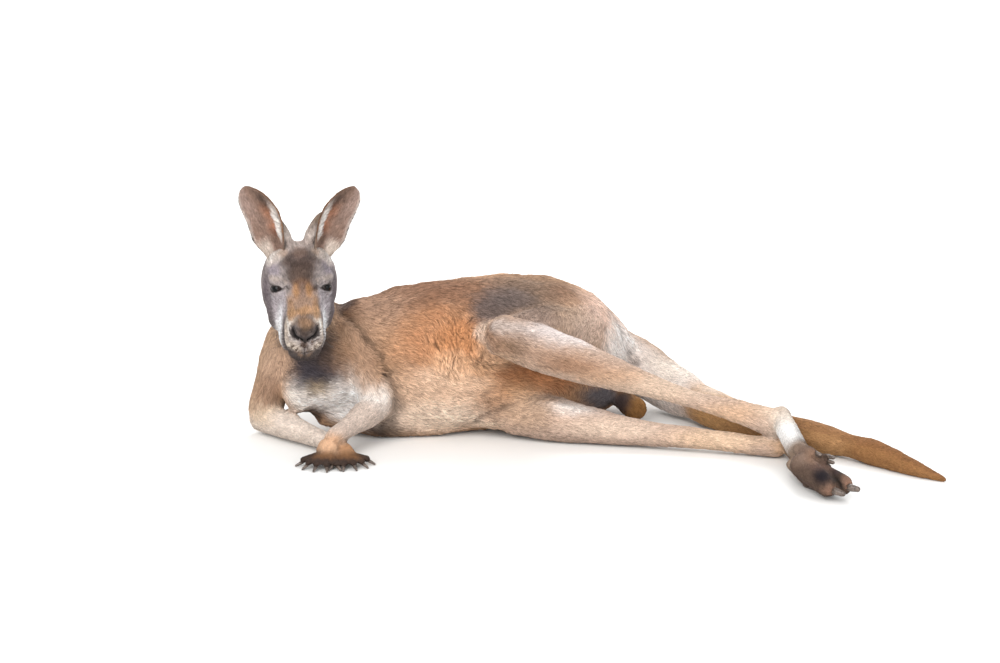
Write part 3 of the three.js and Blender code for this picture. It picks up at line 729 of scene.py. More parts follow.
headMarks = [  # side (the same on both), ahead, up; reach; colour; strength
    ((0, -112, 10), (90, 48, 84), "a48a76", 0.85),
    ((0, -66, 58), (46, 44, 28), "b1a198", 0.88),
    ((0, -12, 54), (46, 36, 22), "5d4c45", 0.9),
    ((0, 4, 50), (30, 28, 18), "54443d", 0.9),
    ((0, -34, 62), (17, 26, 18), "7a6154", 0.6),
    ((0, 26, 42), (38, 24, 15), "57453b", 0.9),
    ((56, -12, 38), (24, 34, 18), "9a8f95", 0.85),
    ((60, 10, -22), (20, 48, 48), "8d8283", 0.9),
    ((46, 36, -22), (14, 34, 34), "b0a6a9", 0.7),
    ((64, -4, 0), (12, 40, 34), "685d60", 0.75),
    ((62, 22, -34), (13, 44, 44), "675c5f", 0.75),
    ((38, 52, 0), (14, 38, 36), "b5abad", 0.8),
    ((0, 80, 26), (35, 46, 30), "aa8a73", 0.92),
    ((0, 44, 36), (29, 24, 16), "7f5e49", 0.85),
    ((12, 58, 34), (8, 26, 14), "b4865a", 0.75),
    ((0, 62, 34), (7, 34, 12), "8e7668", 0.6),
    ((23, 84, 16), (8, 32, 14), "ab8058", 0.6),
    ((0, 104, 22), (22, 14, 12), "b48a62", 0.75),
    ((43, 60, -32), (11, 22, 42), "fbf8f8", 0.97),
    ((43, 60, -70), (12, 28, 30), "f0ecea", 0.95),
    ((34, 92, -30), (5.5, 20, 36), "4b4240", 0.85),
    ((54, 36, -54), (9, 30, 44), "5b514f", 0.7),
    ((22, 104, 10), (15, 24, 12), "b08a66", 0.8),
    ((30, 112, -18), (8, 18, 26), "cbb9a8", 0.85),
    ((19, 122, -38), (19, 18, 13), "d3c3b4", 0.92),
    ((0, 124, -1), (28, 18, 23), "4d3f37", 0.98),
    ((0, 126, 10), (17, 14, 10), "96775e", 0.9),
    ((0, 128, 1), (9, 14, 7), "64503f", 0.7),
    ((0, 128, -14), (22, 16, 9), "3c302b", 0.85),
    ((0, 126, -32), (8, 16, 11), "5d4537", 0.9),
    ((10, 126, -50), (9, 18, 5), "9a7b62", 0.7),
    ((0, 112, -72), (37, 36, 12), "453d3b", 0.96),
    ((0, 96, -86), (36, 40, 14), "3f3b3c", 0.97),
    ((0, 30, -92), (46, 60, 26), "433e3f", 0.9),
    ((58, -20, -60), (20, 40, 26), "8b7c70", 0.6),
    ((44, -42, 43), (26, 28, 24), "d6c7bb", 0.8),
    ((50, -44, 36), (14, 20, 12), "e9ddd4", 0.8),
    ((30, -40, 57), (10, 18, 12), "b7957b", 0.45),
    ((20, -72, 72), (16, 24, 16), "c2b4aa", 0.75),
    ((22, -80, 88), (14, 24, 16), "8c7c70", 0.85),
    ((38, -86, 96), (12, 24, 20), "7a6655", 0.85),
    ((50, 12, 31), (18, 14, 4.5), "b3a497", 0.55),
    ((34, 28, 33), (10, 10, 5), "bda58f", 0.6),
    ((26, 38, 27), (14, 10, 3), "3c2f2a", 0.7),
    ((48, 14, -8), (14, 12, 3.4), "b4aeb0", 0.6),
]


def paint(colour, share, hexColour):
    return colour + share[:, None] * (linear(hexColour) - colour)


uneven = 0.10 * wobble(points, 0.05, 21) + 0.07 * wobble(points, 0.018, 22)
for centre, reach, hexColour, strength, where in bodyMarks:
    away = np.linalg.norm((drawn - centre) / reach, axis=1) + uneven
    share = strength * (1 - smoothStep(away, 0.45, 1.2)) * partMask(*where.split())
    colour = paint(colour, share, hexColour)
colour = spread(colour, net, 8)
onTail = spread(partMask("tail_middle", "tail_tip"), net, 12)
onTail *= smoothStep(drawn[:, 0], 430, 520)
colour = paint(colour, 0.55 * onTail * smoothStep(normals[:, 2], 0.45, 0.95), "7a5135")
mirrored = mirror(local)
for centre, reach, hexColour, strength in headMarks:
    away = np.linalg.norm((mirrored - centre) / reach, axis=1) + 0.8 * uneven
    colour = paint(colour, strength * (1 - smoothStep(away, 0.42, 1.18)) * isHead, hexColour)

# Bare dark skin: the nose's lower edge and nostrils, the lips' line, the lids' edges; with painted shade in
# the nostrils and a painted highlight on the nose's alar folds.
creamEdge = bump(nose, 1.13, 0.09) * smoothStep(mirrored[:, 0], 8, 18) * smoothStep(local[:, 2], -34, -20)
creamEdge *= 1 - 0.7 * smoothStep(local[:, 2], 0, 12)
colour = paint(colour, 0.9 * creamEdge * isHead, "efe5da")
naked = 0.92 * (1 - smoothStep(nostril, 5.0, 9.0)) * (1 - smoothStep(nose, 0.98, 1.06))
colour = paint(colour, naked * isHead, "312927")
# Painted highlight: a pale comma on each alar fold, a glint on the dark nose.
alarFoldGlint = oval(mirrored[:, 0], local[:, 2] + 0.6 * (15 - mirrored[:, 0]), (15, -8), (7, 2.6))
colour = paint(colour, 0.3 * alarFoldGlint * (local[:, 1] > 96) * isHead, "6b605d")
# The nostril slits are painted near black: the nose's dark leather, with painted shade inside the openings.
colour = paint(colour, (1 - smoothStep(nostril, 0.8, 3.2)) * isHead, "120d0c")
naked = np.clip(naked + 0.8 * (1 - smoothStep(nose, 0.8, 1.0)) * smoothStep(-local[:, 2], 6, 18), 0, 1)
underLip = smoothStep(mouthLevel(local) - local[:, 2], 1, 4.5) * smoothStep(local[:, 1], 50, 80)
underLip *= 1 - smoothStep(mirrored[:, 0], 29, 36)
colour = paint(colour, 0.9 * underLip * isHead, "483e3b")
lowerLip = bump(mouthLevel(local) - local[:, 2], 5.5, 3.2) * (local[:, 1] > 104) * bump(mirrored[:, 0], 7, 9)
colour = paint(colour, 0.6 * lowerLip * isHead, "9c7a5c")
colour = paint(colour, np.clip(1.5 * mouth + cleft, 0, 1) * isHead, "2a1f1b")
spotted = np.hypot((mirrored[:, 0] - 15) / 17, (local[:, 2] + 36) / 16)
spotted = smoothStep(wobble(points, 0.006, 31), 0.3, 0.6) * (1 - smoothStep(spotted, 0.6, 1))
colour = paint(colour, 0.9 * spotted * (local[:, 1] > 96) * isHead, "4d372a")
lidEdge = smoothStep(eyeMarks, -12, -5)
colour = paint(colour, 0.95 * lidEdge, "1f1917")
bare = np.clip(naked + mouth + lidEdge, 0, 1) * isHead
bare = np.clip(bare + 0.55 * partMask("scrotum"), 0, 1)
# Painted shade in the hollows of the flank's wrinkles, and a painted highlight on their crests.
colour *= (1 - 0.62 * np.clip(-wrinkle, 0, 1) + 0.14 * np.clip(wrinkle, 0, 1))[:, None]
# Painted shade: the colour is darkened along the creases.
colour *= (1 - crease)[:, None]
fleck = (0.07 * wobble(points, 0.034, 51) + 0.08 * wobble(points, 0.0085, 52)) * contrast
fleck = fleck + 0.17 * isHead * wobble(points * (1, 0.6, 0.6), 0.0045, 53)
colour = np.clip(colour * (1 + fleck)[:, None], 0, 1)
report("markings painted")


# The ears are thin shells rolled into a scoop that opens forwards; their roots are inside the head.
ear = {
    "length": 146, "halfWidth": 43, "narrower": 5, "wall": 1.7, "around": 56, "along": 44,
    "lean": (-0.16, 0.64, 0.3), "tilt": 0.05, "root": (34, 60, 30),  # radians, and mm on the head
    "outside": "776153", "lining": "80675a", "contrast": 2.0, "cling": 0.1,
    "tuft": (6.5, 1.35, 0.9, 0.42),  # length, width, rise, and how many for each square mm
    "fringeTuft": (8, 2.4, 0.25),  # what the pale fringe adds to length, rise and number
}


def faceOrder(face):  # by its corners, because the faces come in a new order each run
    low, middle, high = sorted(vert.index for vert in face.verts)
    return (low * 10000 + middle) * 10000 + high


def earMesh(side):
    bm = bmesh.new()
    bmesh.ops.create_uvsphere(bm, u_segments=ear["around"], v_segments=ear["along"], radius=1)
    ball = np.array([vert.co for vert in bm.verts])
    up = (ball[:, 2] + 1) / 2
    flat = np.maximum(np.hypot(ball[:, 0], ball[:, 1]), 1e-9)
    across, through = ball[:, 0] / flat, ball[:, 1] / flat
    across = np.sign(across) * np.abs(across) ** 0.8
    taper = np.sqrt(np.clip(1 - np.maximum(0, (up - 0.4) / 0.6) ** 2.8, 0, 1))
    taper = taper * (0.6 + 0.4 * smoothStep(up, 0, 0.4))
    halfWidth = ear["halfWidth"] - ear["narrower"] * smoothStep(up, 0.25, 0.6)
    halfWidth = np.maximum(halfWidth * taper, 0.5)
    roll = mix(1.75, 0.66, smoothStep(up, -0.1, 0.62))
    radius = halfWidth / roll
    turn = across * roll * (1 - 0.24 * (across * side < 0) * bump(up, 0.28, 0.3))
    ridge = 1.1 * bump(across, 0.28 * side, 0.2) + 0.8 * bump(across, -0.3 * side, 0.16)
    ridge = ridge * (through < 0) * smoothStep(up, 0.2, 0.4) * (1 - smoothStep(up, 0.6, 0.8))
    wall = ear["wall"] * (1 - 0.6 * across ** 4) * (1 + 0.8 * bump(up, 0.1, 0.3))
    skin = radius + wall * through - ridge
    bend = 18 * np.sin(math.pi * up * 0.55)
    bow = side * 10 * np.sin(math.pi * up)
    ahead = skin * np.cos(turn) - radius + bend
    spots = np.column_stack([skin * np.sin(turn) - bow, ahead, ear["length"] * up])
    pitch, yaw, spin = ear["lean"]
    turned = Matrix.Rotation(side * spin, 3, "Z") @ Matrix.Rotation(side * yaw + ear["tilt"], 3, "Y")
    turned = np.array(turned @ Matrix.Rotation(pitch, 3, "X"))
    spots = spots @ turned.T + np.array(ear["root"]) * (side, 1, 1)
    spots = headMiddle + spots @ headTurn.T / 1000
    for vert, spot in zip(bm.verts, spots):
        vert.co = spot
    bmesh.ops.triangulate(bm, faces=bm.faces[:])
    bmesh.ops.recalc_face_normals(bm, faces=bm.faces[:])
    bm.verts.index_update()
    bm.faces.sort(key=faceOrder)
    mesh = bpy.data.meshes.new("ear")
    bm.to_mesh(mesh)
    bm.free()
    upwards = headTurn @ turned @ np.array([0, 0, 1.0])
    outwards = headTurn @ turned @ np.array([side, 0, 0.0])
    return mesh, up, across * side, through, upwards, outwards


cling = np.full(len(points), 0.85)
joined = bmesh.new()
setCoordinates(skinMesh, points)
joined.from_mesh(skinMesh)
for side in (1, -1):
    mesh, up, outer, through, upwards, outwards = earMesh(side)
    joined.from_mesh(mesh)
    count = len(up)
    inside = smoothStep(-through, -0.15, 0.15)
    fringe = bump(outer, -0.7, 0.3) * smoothStep(up, 0.14, 0.24) * (1 - smoothStep(up, 0.42, 0.78)) * inside
    outerFringe = 0.3 * inside * smoothStep(outer, 0.8, 0.98) * smoothStep(up, 0.2, 0.4)
    earColour = mix(linear(ear["outside"]), linear(ear["lining"]), inside[:, None])
    warm = bump(outer, -0.3, 0.6) * np.maximum(bump(up, 0.58, 0.2), bump(up, 0.38, 0.14))
    for share, hexColour in (
        (0.8 * inside * warm, "ab7356"),
        # Painted shade in the upper hollow inside the ear.
        (0.9 * inside * bump(up, 0.72, 0.28) * bump(outer, -0.45, 0.55), "42342d"),
        # Low inside the ear, near its root: the lining's reddish brown, with painted shade in the deep
        # hollow.
        (0.8 * inside * bump(up, 0.3, 0.1) * bump(outer, -0.25, 0.45), "6b4436"),
        (0.8 * inside * bump(up, 0.2, 0.14) * bump(outer, -0.1, 0.25), "4b3a30"),
        (0.7 * inside * (1 - smoothStep(up, 0.2, 0.34)) * smoothStep(outer, 0.1, 0.5), "cbbdb0"),
        (0.35 * inside * smoothStep(up, 0.4, 0.8) * smoothStep(outer, 0.0, 0.6), "a8938a"),
        (np.clip(0.97 * fringe + outerFringe, 0, 1), "efe7df"),
        (smoothStep(-outer, 0.84, 0.96) * smoothStep(up, 0.12, 0.22), "7b573c"),
        (0.7 * (1 - inside) * (1 - smoothStep(up, 0.35, 0.6)), "857264"),
    ):
        earColour = paint(earColour, share, hexColour)
    spots = coordinates(mesh)
    grain = 0.12 * wobble(spots, 0.007, 61) + 0.16 * wobble(spots, 0.003, 62)
    earColour = np.clip(earColour * (1 + grain)[:, None], 0, 1)
    tuft, longer = ear["tuft"], ear["fringeTuft"]
    bushy = fringe + 0.5 * outerFringe
    shorter = 1 - 0.6 * smoothStep(up, 0.8, 0.97)
    outFringe = 0.9 * (inside * fringe)[:, None] * outwards
    points = np.concatenate([points, spots])
    normals = np.concatenate([normals, normalsOf(mesh)])
    colour = np.concatenate([colour, earColour])
    length = np.concatenate([length, (tuft[0] + longer[0] * bushy) * shorter])
    width = np.concatenate([width, np.full(count, tuft[1])])
    rise = np.concatenate([rise, tuft[2] + longer[1] * bushy])
    density = np.concatenate([density, tuft[3] + longer[2] * fringe])
    lie = np.concatenate([lie, unit(upwards + outFringe)])
    bare = np.concatenate([bare, 0.35 * inside * (1 - fringe) * smoothStep(up, 0.3, 0.5)])
    cling = np.concatenate([cling, np.full(count, ear["cling"])])
    contrast = np.concatenate([contrast, np.full(count, ear["contrast"])])
    parts = np.concatenate([parts, np.full(count, len(partNames))])
    eyeMarks = np.concatenate([eyeMarks, np.full(count, noMark)])
joined.to_mesh(skinMesh)
joined.free()
skinMesh.update()
normals = normalsOf(skinMesh)
lie = laidOn(lie, normals)
partNames.append("ear")
triangles = trianglesOf(skinMesh)
skinObject = newObject("body_skin", skinMesh)
report(f"ears joined: {len(triangles)} triangles in the skin")


def setColour(mesh, colour):
    shown = np.column_stack([np.clip(colour, 0, 1), np.ones(len(colour))]).astype(np.float32)
    mesh.attributes.new("coatColour", "FLOAT_COLOR", "POINT").data.foreach_set("color", shown.ravel())


setColour(skinMesh, colour)
skinMesh.attributes.new("bare", "FLOAT", "POINT").data.foreach_set("value", bare.astype(np.float32))


# A small copy of the skin is unwrapped: a tuft's patch of the map is at its root's place.
unwrap = {"keep": 0.035, "angle": 62, "margin": 0.004}


def unwrapSkin():  # its points, triangles, the map's corners for each triangle, and a tree to find them with
    made = newObject("map", skinMesh.copy())
    made.modifiers.new("fewer", "DECIMATE").ratio = unwrap["keep"]
    mesh = evaluatedMesh(made)
    made = newObject("map", mesh)
    bpy.context.view_layer.objects.active = made
    made.select_set(True)
    mesh.uv_layers.new(name="roots")
    bpy.ops.object.mode_set(mode="EDIT")
    bpy.ops.mesh.select_all(action="SELECT")
    bpy.ops.uv.smart_project(angle_limit=math.radians(unwrap["angle"]), island_margin=unwrap["margin"])
    bpy.ops.object.mode_set(mode="OBJECT")
    spots, faces = coordinates(mesh), trianglesOf(mesh)
    loops = readOut(mesh.loop_triangles, "loops", 3, np.int32)
    corners = readOut(mesh.uv_layers["roots"].data, "uv", 2)[loops]
    bpy.data.objects.remove(made)
    bpy.data.meshes.remove(mesh)
    return spots, faces, corners, BVHTree.FromPolygons(spots.tolist(), faces.tolist())


def placeOnMap(roots):
    spots, faces, corners, tree = rootMap
    found = [tree.find_nearest(root) for root in roots.tolist()]
    face = np.array([hit[2] for hit in found])
    a, b, c = (spots[faces[face, i]] for i in range(3))
    ab, ac, away = b - a, c - a, np.array([hit[0] for hit in found]) - a
    d00, d01, d11 = (np.einsum("ij,ij->i", *pair) for pair in ((ab, ab), (ab, ac), (ac, ac)))
    d20, d21 = np.einsum("ij,ij->i", away, ab), np.einsum("ij,ij->i", away, ac)
    area = np.maximum(d00 * d11 - d01 * d01, 1e-20)
    v = np.clip((d11 * d20 - d01 * d21) / area, 0, 1)
    w = np.clip((d00 * d21 - d01 * d20) / area, 0, 1 - v)
    uv = corners[face]
    return uv[:, 0] * (1 - v - w)[:, None] + uv[:, 1] * v[:, None] + uv[:, 2] * w[:, None]


rootMap = unwrapSkin()
skinTree = BVHTree.FromPolygons(points.tolist(), triangles.tolist())
report(f"map of the roots: {len(rootMap[1])} faces")

coat = {
    "amount": 1.0, "ridge": 0.42, "stray": 0.16, "lockTurn": 0.32,  # how many, where a tuft bends, radians
    "sink": 0.5, "lock": 0.016, "floor": 0.0005,  # mm, metres, metres
    "atRoot": 0.62, "atTip": 1.16, "uneven": 0.2, "gaps": 0.5,  # how dark or pale; gaps is painted shade for the gaps between locks
    "patch": 0.003, "piece": 48000,  # a tuft's share of the map's width, and the most tufts in a piece
}
groups = {
    "coat_trunk": "trunk neck", "coat_head": "head", "coat_ears": "ear",
    "coat_arms": "upper_arm_left upper_arm_right forearm_left forearm_right hand_left hand_right",
    "coat_legs": "thigh_left thigh_right shank_left shank_right scrotum",
    "coat_feet": "foot_left foot_right", "coat_tail": "tail_root tail_middle tail_tip",
}


def meshOfTufts(name, corners, facets, uv, facing, colour):
    mesh = bpy.data.meshes.new(name)
    mesh.vertices.add(len(corners))
    mesh.vertices.foreach_set("co", corners.astype(np.float32).ravel())
    mesh.loops.add(facets.size)
    mesh.loops.foreach_set("vertex_index", facets.astype(np.int32).ravel())
    mesh.polygons.add(len(facets))
    mesh.polygons.foreach_set("loop_start", np.arange(0, facets.size, 3, dtype=np.int32))
    mesh.polygons.foreach_set("loop_total", np.full(len(facets), 3, np.int32))
    mesh.update(calc_edges=True)
    mesh.uv_layers.new(name="OFBake").data.foreach_set("uv", uv[facets.ravel()].astype(np.float32).ravel())
    setColour(mesh, colour)
    mesh.normals_split_custom_set_from_vertices(facing.tolist())
    return mesh


def tuftsOn(ends, density):  # how many tufts these triangles want
    a, b, c = (points[ends[:, i]] for i in range(3))
    area = np.linalg.norm(np.cross(b - a, c - a), axis=1) / 2 * 1e6
    return area * density[ends].mean(axis=1) * coat["amount"]


def growCoat(chosen):  # tufts on the chosen triangles of the skin, as arrays
    ends = triangles[chosen]
    wanted = tuftsOn(ends, density * (1 - bare))
    owner = np.repeat(np.arange(len(ends)), np.floor(wanted + chance.random(len(ends))).astype(int))
    first, second = chance.random(len(owner)), chance.random(len(owner))
    fold = first + second > 1
    first, second = np.where(fold, 1 - first, first), np.where(fold, 1 - second, second)
    weights = np.column_stack([1 - first - second, first, second])
    ends = ends[owner]

    def there(values):
        if values.ndim == 1:
            return (values[ends] * weights).sum(axis=1)
        return (values[ends] * weights[:, :, None]).sum(axis=1)

    count = len(owner)
    root, up, ahead = there(points), unit(there(normals)), unit(there(lie))
    aside = unit(np.cross(up, ahead))
    turn = coat["lockTurn"] * wobble(root, coat["lock"], 41) + coat["stray"] * chance.normal(size=count)
    ahead = unit(np.cross(aside, up)) * np.cos(turn)[:, None] + aside * np.sin(turn)[:, None]
    aside = np.cross(up, ahead)
    size = 1 + 0.25 * wobble(root, 0.02, 42) + 0.2 * chance.normal(size=count)
    reach = there(length) * np.clip(size, 0.45, 1.7) / 1000
    broad = there(width) * np.clip(1 + 0.2 * chance.normal(size=count), 0.5, 1.6) / 1000
    lift = there(rise) * chance.uniform(0.35, 1.15, count) * (1 + 0.2 * wobble(root, 0.024, 43)) / 1000
    straight = root + ahead * reach[:, None]
    found = [skinTree.find_nearest(spot) for spot in straight.tolist()]
    below = np.array([hit[0] for hit in found])
    upThere = unit(normals[triangles[[hit[2] for hit in found]]].mean(axis=1))
    hold = there(cling)[:, None]
    tip = mix(straight + up * lift[:, None], below + upThere * lift[:, None], hold)
    bulge = 0.3 * lift + reach / 8 * np.linalg.norm(upThere - up, axis=1) * hold[:, 0]
    ridge = mix(root, tip, coat["ridge"]) + up * bulge[:, None]
    base = root - up * coat["sink"] / 1000
    half = aside * broad[:, None] / 2
    corners = np.stack([base - half, base + half, ridge, tip], axis=1)
    corners[:, :, 2] = np.maximum(corners[:, :, 2], coat["floor"])
    facing = np.stack([unit(up - 0.45 * aside), unit(up + 0.45 * aside), up, unit(up + 0.25 * ahead)], axis=1)
    strong = there(contrast)
    speckle = coat["uneven"] * (0.75 + 0.45 * strong) * chance.normal(size=count)
    shade = 1 + speckle + 0.08 * wobble(root, 0.011, 44)
    # Darker clumps of tufts, scattered by a noise: painted shade for the gaps between locks of fur.
    clump = wobble(root * (1, 1, 1.4), 0.0065, 45)
    shade = shade * (1 - coat["gaps"] * smoothStep(clump, 0.3, 0.95) * np.minimum(strong, 2.2 - strong))
    along = np.array([coat["atRoot"], coat["atRoot"], 0.5 * (coat["atRoot"] + coat["atTip"]), coat["atTip"]])
    shown = there(colour)[:, None, :] * (np.clip(shade, 0.6, 1.5)[:, None] * along)[:, :, None]
    uv = placeOnMap(root)[:, None, :] + np.array([(-1, -1), (1, -1), (0, 0), (0, 1)]) * coat["patch"] / 2
    facets = np.array([(0, 3, 2), (1, 2, 3), (0, 2, 1), (0, 1, 3)]) + 4 * np.arange(count)[:, None, None]
    arrays = (corners, 3), (facets, 3), (uv, 2), (facing, 3), (shown, 3)
    return [values.reshape(-1, wide) for values, wide in arrays]


ownPart = parts[triangles[:, 0]]
middles = points[triangles].mean(axis=1)
facingDown = normals[triangles].mean(axis=1)[:, 2] < -0.9
grows = ~(facingDown & (middles[:, 2] < 0.004)) & (eyeMarks[triangles].max(axis=1) < -7)
coatObjects = []
tuftCount = 0
for name, members in groups.items():
    chosen = grows & np.isin(ownPart, [partNames.index(member) for member in members.split()])
    chosen = np.flatnonzero(chosen)
    chosen = chosen[np.argsort(middles[chosen, 0])]
    wanted = tuftsOn(triangles[chosen], density)
    slices = max(1, math.ceil(wanted.sum() / coat["piece"]))
    steps = np.searchsorted(np.cumsum(wanted), np.linspace(0, wanted.sum(), slices + 1)[1:-1])
    for number, some in enumerate(np.split(chosen, steps)):
        own = name if slices == 1 else f"{name}_{number + 1}"
        grown = growCoat(some)
        tuftCount += len(grown[0]) // 4
        coatObjects.append(newObject(own, meshOfTufts(own, *grown)))
report(f"coat: {tuftCount} tufts in {len(coatObjects)} pieces")


def smoothPiece(name, bm):  # a piece of the one body, with its faces shaded smooth
    mesh = bpy.data.meshes.new(name)
    bm.to_mesh(mesh)
    bm.free()
    mesh.shade_smooth()
    made = newObject(name, mesh)
    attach(made, "root")
    return made


# Eyes: near black, with a brown iris that only shows in strong light.
eye = {"radius": 12.75, "cornea": 0.6, "iris": "170d09", "pupil": "030303", "white": "241a16"}


def eyeball(side, name):
    forward = headTurn @ (gazeAxes(side)[0] * (1, -1, 1))
    turn = Vector((0, 0, 1)).rotation_difference(Vector(forward)).to_matrix().to_4x4()
    bm = bmesh.new()
    bmesh.ops.create_uvsphere(bm, u_segments=48, v_segments=40, radius=eye["radius"] / 1000)
    for vert in bm.verts:
        angle = math.degrees(vert.co.angle(Vector((0, 0, 1))))
        vert.co *= 1 + eye["cornea"] / eye["radius"] * float(bump(angle, 0, 46))
    bmesh.ops.transform(bm, matrix=Matrix.Translation(Vector(eyeCentre(side))) @ turn, verts=bm.verts)
    made = smoothPiece(name, bm)
    away = unit(coordinates(made.data) - eyeCentre(side)) @ forward
    angle = np.degrees(np.arccos(np.clip(away, -1, 1)))
    shown = np.tile(linear(eye["white"]), (len(angle), 1))
    shown = paint(shown, 1 - smoothStep(angle, 46, 52), eye["iris"])
    shown = paint(shown, 1 - smoothStep(angle, 22, 27), eye["pupil"])
    setColour(made.data, shown)
    return made


eyes = {-1: eyeball(-1, "eyeball_right"), 1: eyeball(1, "eyeball_left")}
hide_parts("eye_left")
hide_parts("eye_right")


clawSwell = {"finger": 0.0003, "toe": 0.0013}  # metres added all round


def clawPiece(kind, side):
    members = [name for name in sorted(nodes) if name.startswith(f"{kind}_claw_{side}")]
    bm = bmesh.new()
    for member in members:
        bm.from_mesh(roundedCopy(nodes[member]))
    bm.normal_update()
    for vert in bm.verts:
        vert.co += vert.normal * clawSwell[kind]
        vert.co.z = max(vert.co.z, 0.0004)
    made = smoothPiece(f"{kind}_claws_{side}", bm)
    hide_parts(*members)
    return made


claws = [clawPiece(kind, side) for kind in ("finger", "toe") for side in ("left", "right")]


# Whiskers and lashes are thin tapered strands.
def strands(name, paths, radius):  # thinning to the tip
    curve = bpy.data.curves.new(name, "CURVE")
    curve.dimensions = "3D"
    curve.bevel_depth = radius
    curve.bevel_resolution = 1
    curve.use_fill_caps = True
    for path in paths:
        line = curve.splines.new("POLY")
        line.points.add(len(path) - 1)
        for i, (point, spot) in enumerate(zip(line.points, path)):
            point.co = (*spot, 1)
            point.radius = 1 - 0.85 * i / (len(path) - 1)
    mesh = evaluatedMesh(newObject(name, curve))
    mesh.name = name
    made = newObject(name, mesh)
    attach(made, "root")
    return made


def curved(start, heading, droop, size, steps=9):  # a hair's path, sinking towards its tip
    path, spot, heading = [], np.array(start, float), unit(np.array(heading, float))
    for _ in range(steps):
        path.append(fromHead(spot))
        spot = spot + heading * size / (steps - 1)
        heading = unit(heading + np.array([0, 0, -droop]) / steps)
    return path


def headSurface(start):
    hit = skinTree.find_nearest(Vector(fromHead(start)))
    return toHead(np.array(hit[0]))


whisker = {  # mm on the head, the droop in radians, and the radius in metres
    "rows": ((116, -22), (112, -30), (118, -38), (108, -42), (104, -26)), "inRow": 3,
    "length": (28, 52), "droop": 0.5, "radius": 0.00022,
}
whiskerPaths = []
for side in (1, -1):
    for row, (ahead, up) in enumerate(whisker["rows"]):
        for number in range(whisker["inRow"]):
            start = headSurface((side * 30, ahead - 7 * number, up + 2 * number - row))
            heading = (side * chance.uniform(0.8, 1.1), chance.uniform(0.1, 0.5), chance.uniform(-0.35, 0.1))
            size = chance.uniform(*whisker["length"])
            whiskerPaths.append(curved(start, heading, whisker["droop"], size))
whiskers = strands("whiskers", whiskerPaths, whisker["radius"])

lash = {"across": (-34, 44), "count": 22, "length": (6.5, 9.5), "droop": 0.55, "radius": 0.00016}
lashPaths = []
for side in (1, -1):
    forward, outwards, above = gazeAxes(side)
    for across in np.linspace(*lash["across"], lash["count"]):
        high = face["openingHalf"][1] * (1 - abs(across / face["openingHalf"][0]) ** 2.6) + 2
        out, up = math.radians(across), math.radians(high)
        level = forward * math.cos(out) + outwards * math.sin(out)
        facing = level * math.cos(up) + above * math.sin(up)
        start = np.array(flesh["eyeAt"]) * (side, 1, 1) + facing * (face["lid"] + 0.1)
        heading = facing + 0.25 * above + 0.35 * outwards * across / 50
        lashPaths.append(curved(start, heading, lash["droop"], chance.uniform(*lash["length"]), 6))
lashes = strands("lashes", lashPaths, lash["radius"])
report("eyes, claws, whiskers and lashes made")


# Materials. The patterns read the place on the piece, in metres.
def waves(size):  # a pattern's scale, from the size of one wave in millimetres
    return 1000 / size


def addNode(tree, kind, settings=None, links=None):
    node = tree.nodes.new("ShaderNode" + kind)
    for name, value in (settings or {}).items():
        if name in node.inputs:
            node.inputs[name].default_value = value
        else:
            setattr(node, name, value)
    for name, socket in (links or {}).items():
        tree.links.new(socket, node.inputs[name])
    return node


def startMaterial(name):  # its tree, and the place on the piece
    material = bpy.data.materials.new(name)
    material.use_nodes = True
    tree = material.node_tree
    tree.nodes.clear()
    return material, tree, addNode(tree, "TexCoord").outputs["Object"]


def finishMaterial(tree, settings, links):
    surface = addNode(tree, "BsdfPrincipled", settings, links)
    addNode(tree, "OutputMaterial", None, {"Surface": surface.outputs["BSDF"]})


def unevenMarkings(tree, spot, pattern, light):  # the painted colour, lighter and darker with a noise
    painted = addNode(tree, "Attribute", {"attribute_name": "coatColour"})
    noise = addNode(tree, "TexNoise", pattern, {"Vector": spot})
    light = addNode(tree, "MapRange", light, {"Value": noise.outputs["Fac"]})
    links = {"Color": painted.outputs["Color"], "Value": light.outputs["Result"]}
    return addNode(tree, "HueSaturation", None, links).outputs["Color"], noise.outputs["Fac"]


def fillRamp(ramp, *stops):  # each stop is a position and a linear colour
    for element, (position, colour) in zip(ramp.color_ramp.elements, stops):
        element.position, element.color = position, (*colour, 1)


furLook = {"roughness": 0.8, "sheen": 0.04, "gloss": 0.16}


# Single hairs are too fine to show, so the fur's noise is drawn as wide as a small lock of them.
def furMaterial():  # tufts of dry fur: the colour of the markings, uneven from lock to lock
    material, tree, spot = startMaterial("kangaroo fur")
    shown, _ = unevenMarkings(
        tree, spot, {"Scale": waves(2.38), "Detail": 3, "Roughness": 0.6},
        {"From Min": 0.3, "From Max": 0.7, "To Min": 0.88, "To Max": 1.12})
    finishMaterial(tree, {
        "Roughness": furLook["roughness"], "Specular IOR Level": furLook["gloss"],
        "Sheen Weight": furLook["sheen"], "Sheen Roughness": 0.45, "Sheen Tint": (1.0, 0.93, 0.86, 1),
    }, {"Base Color": shown})
    return material


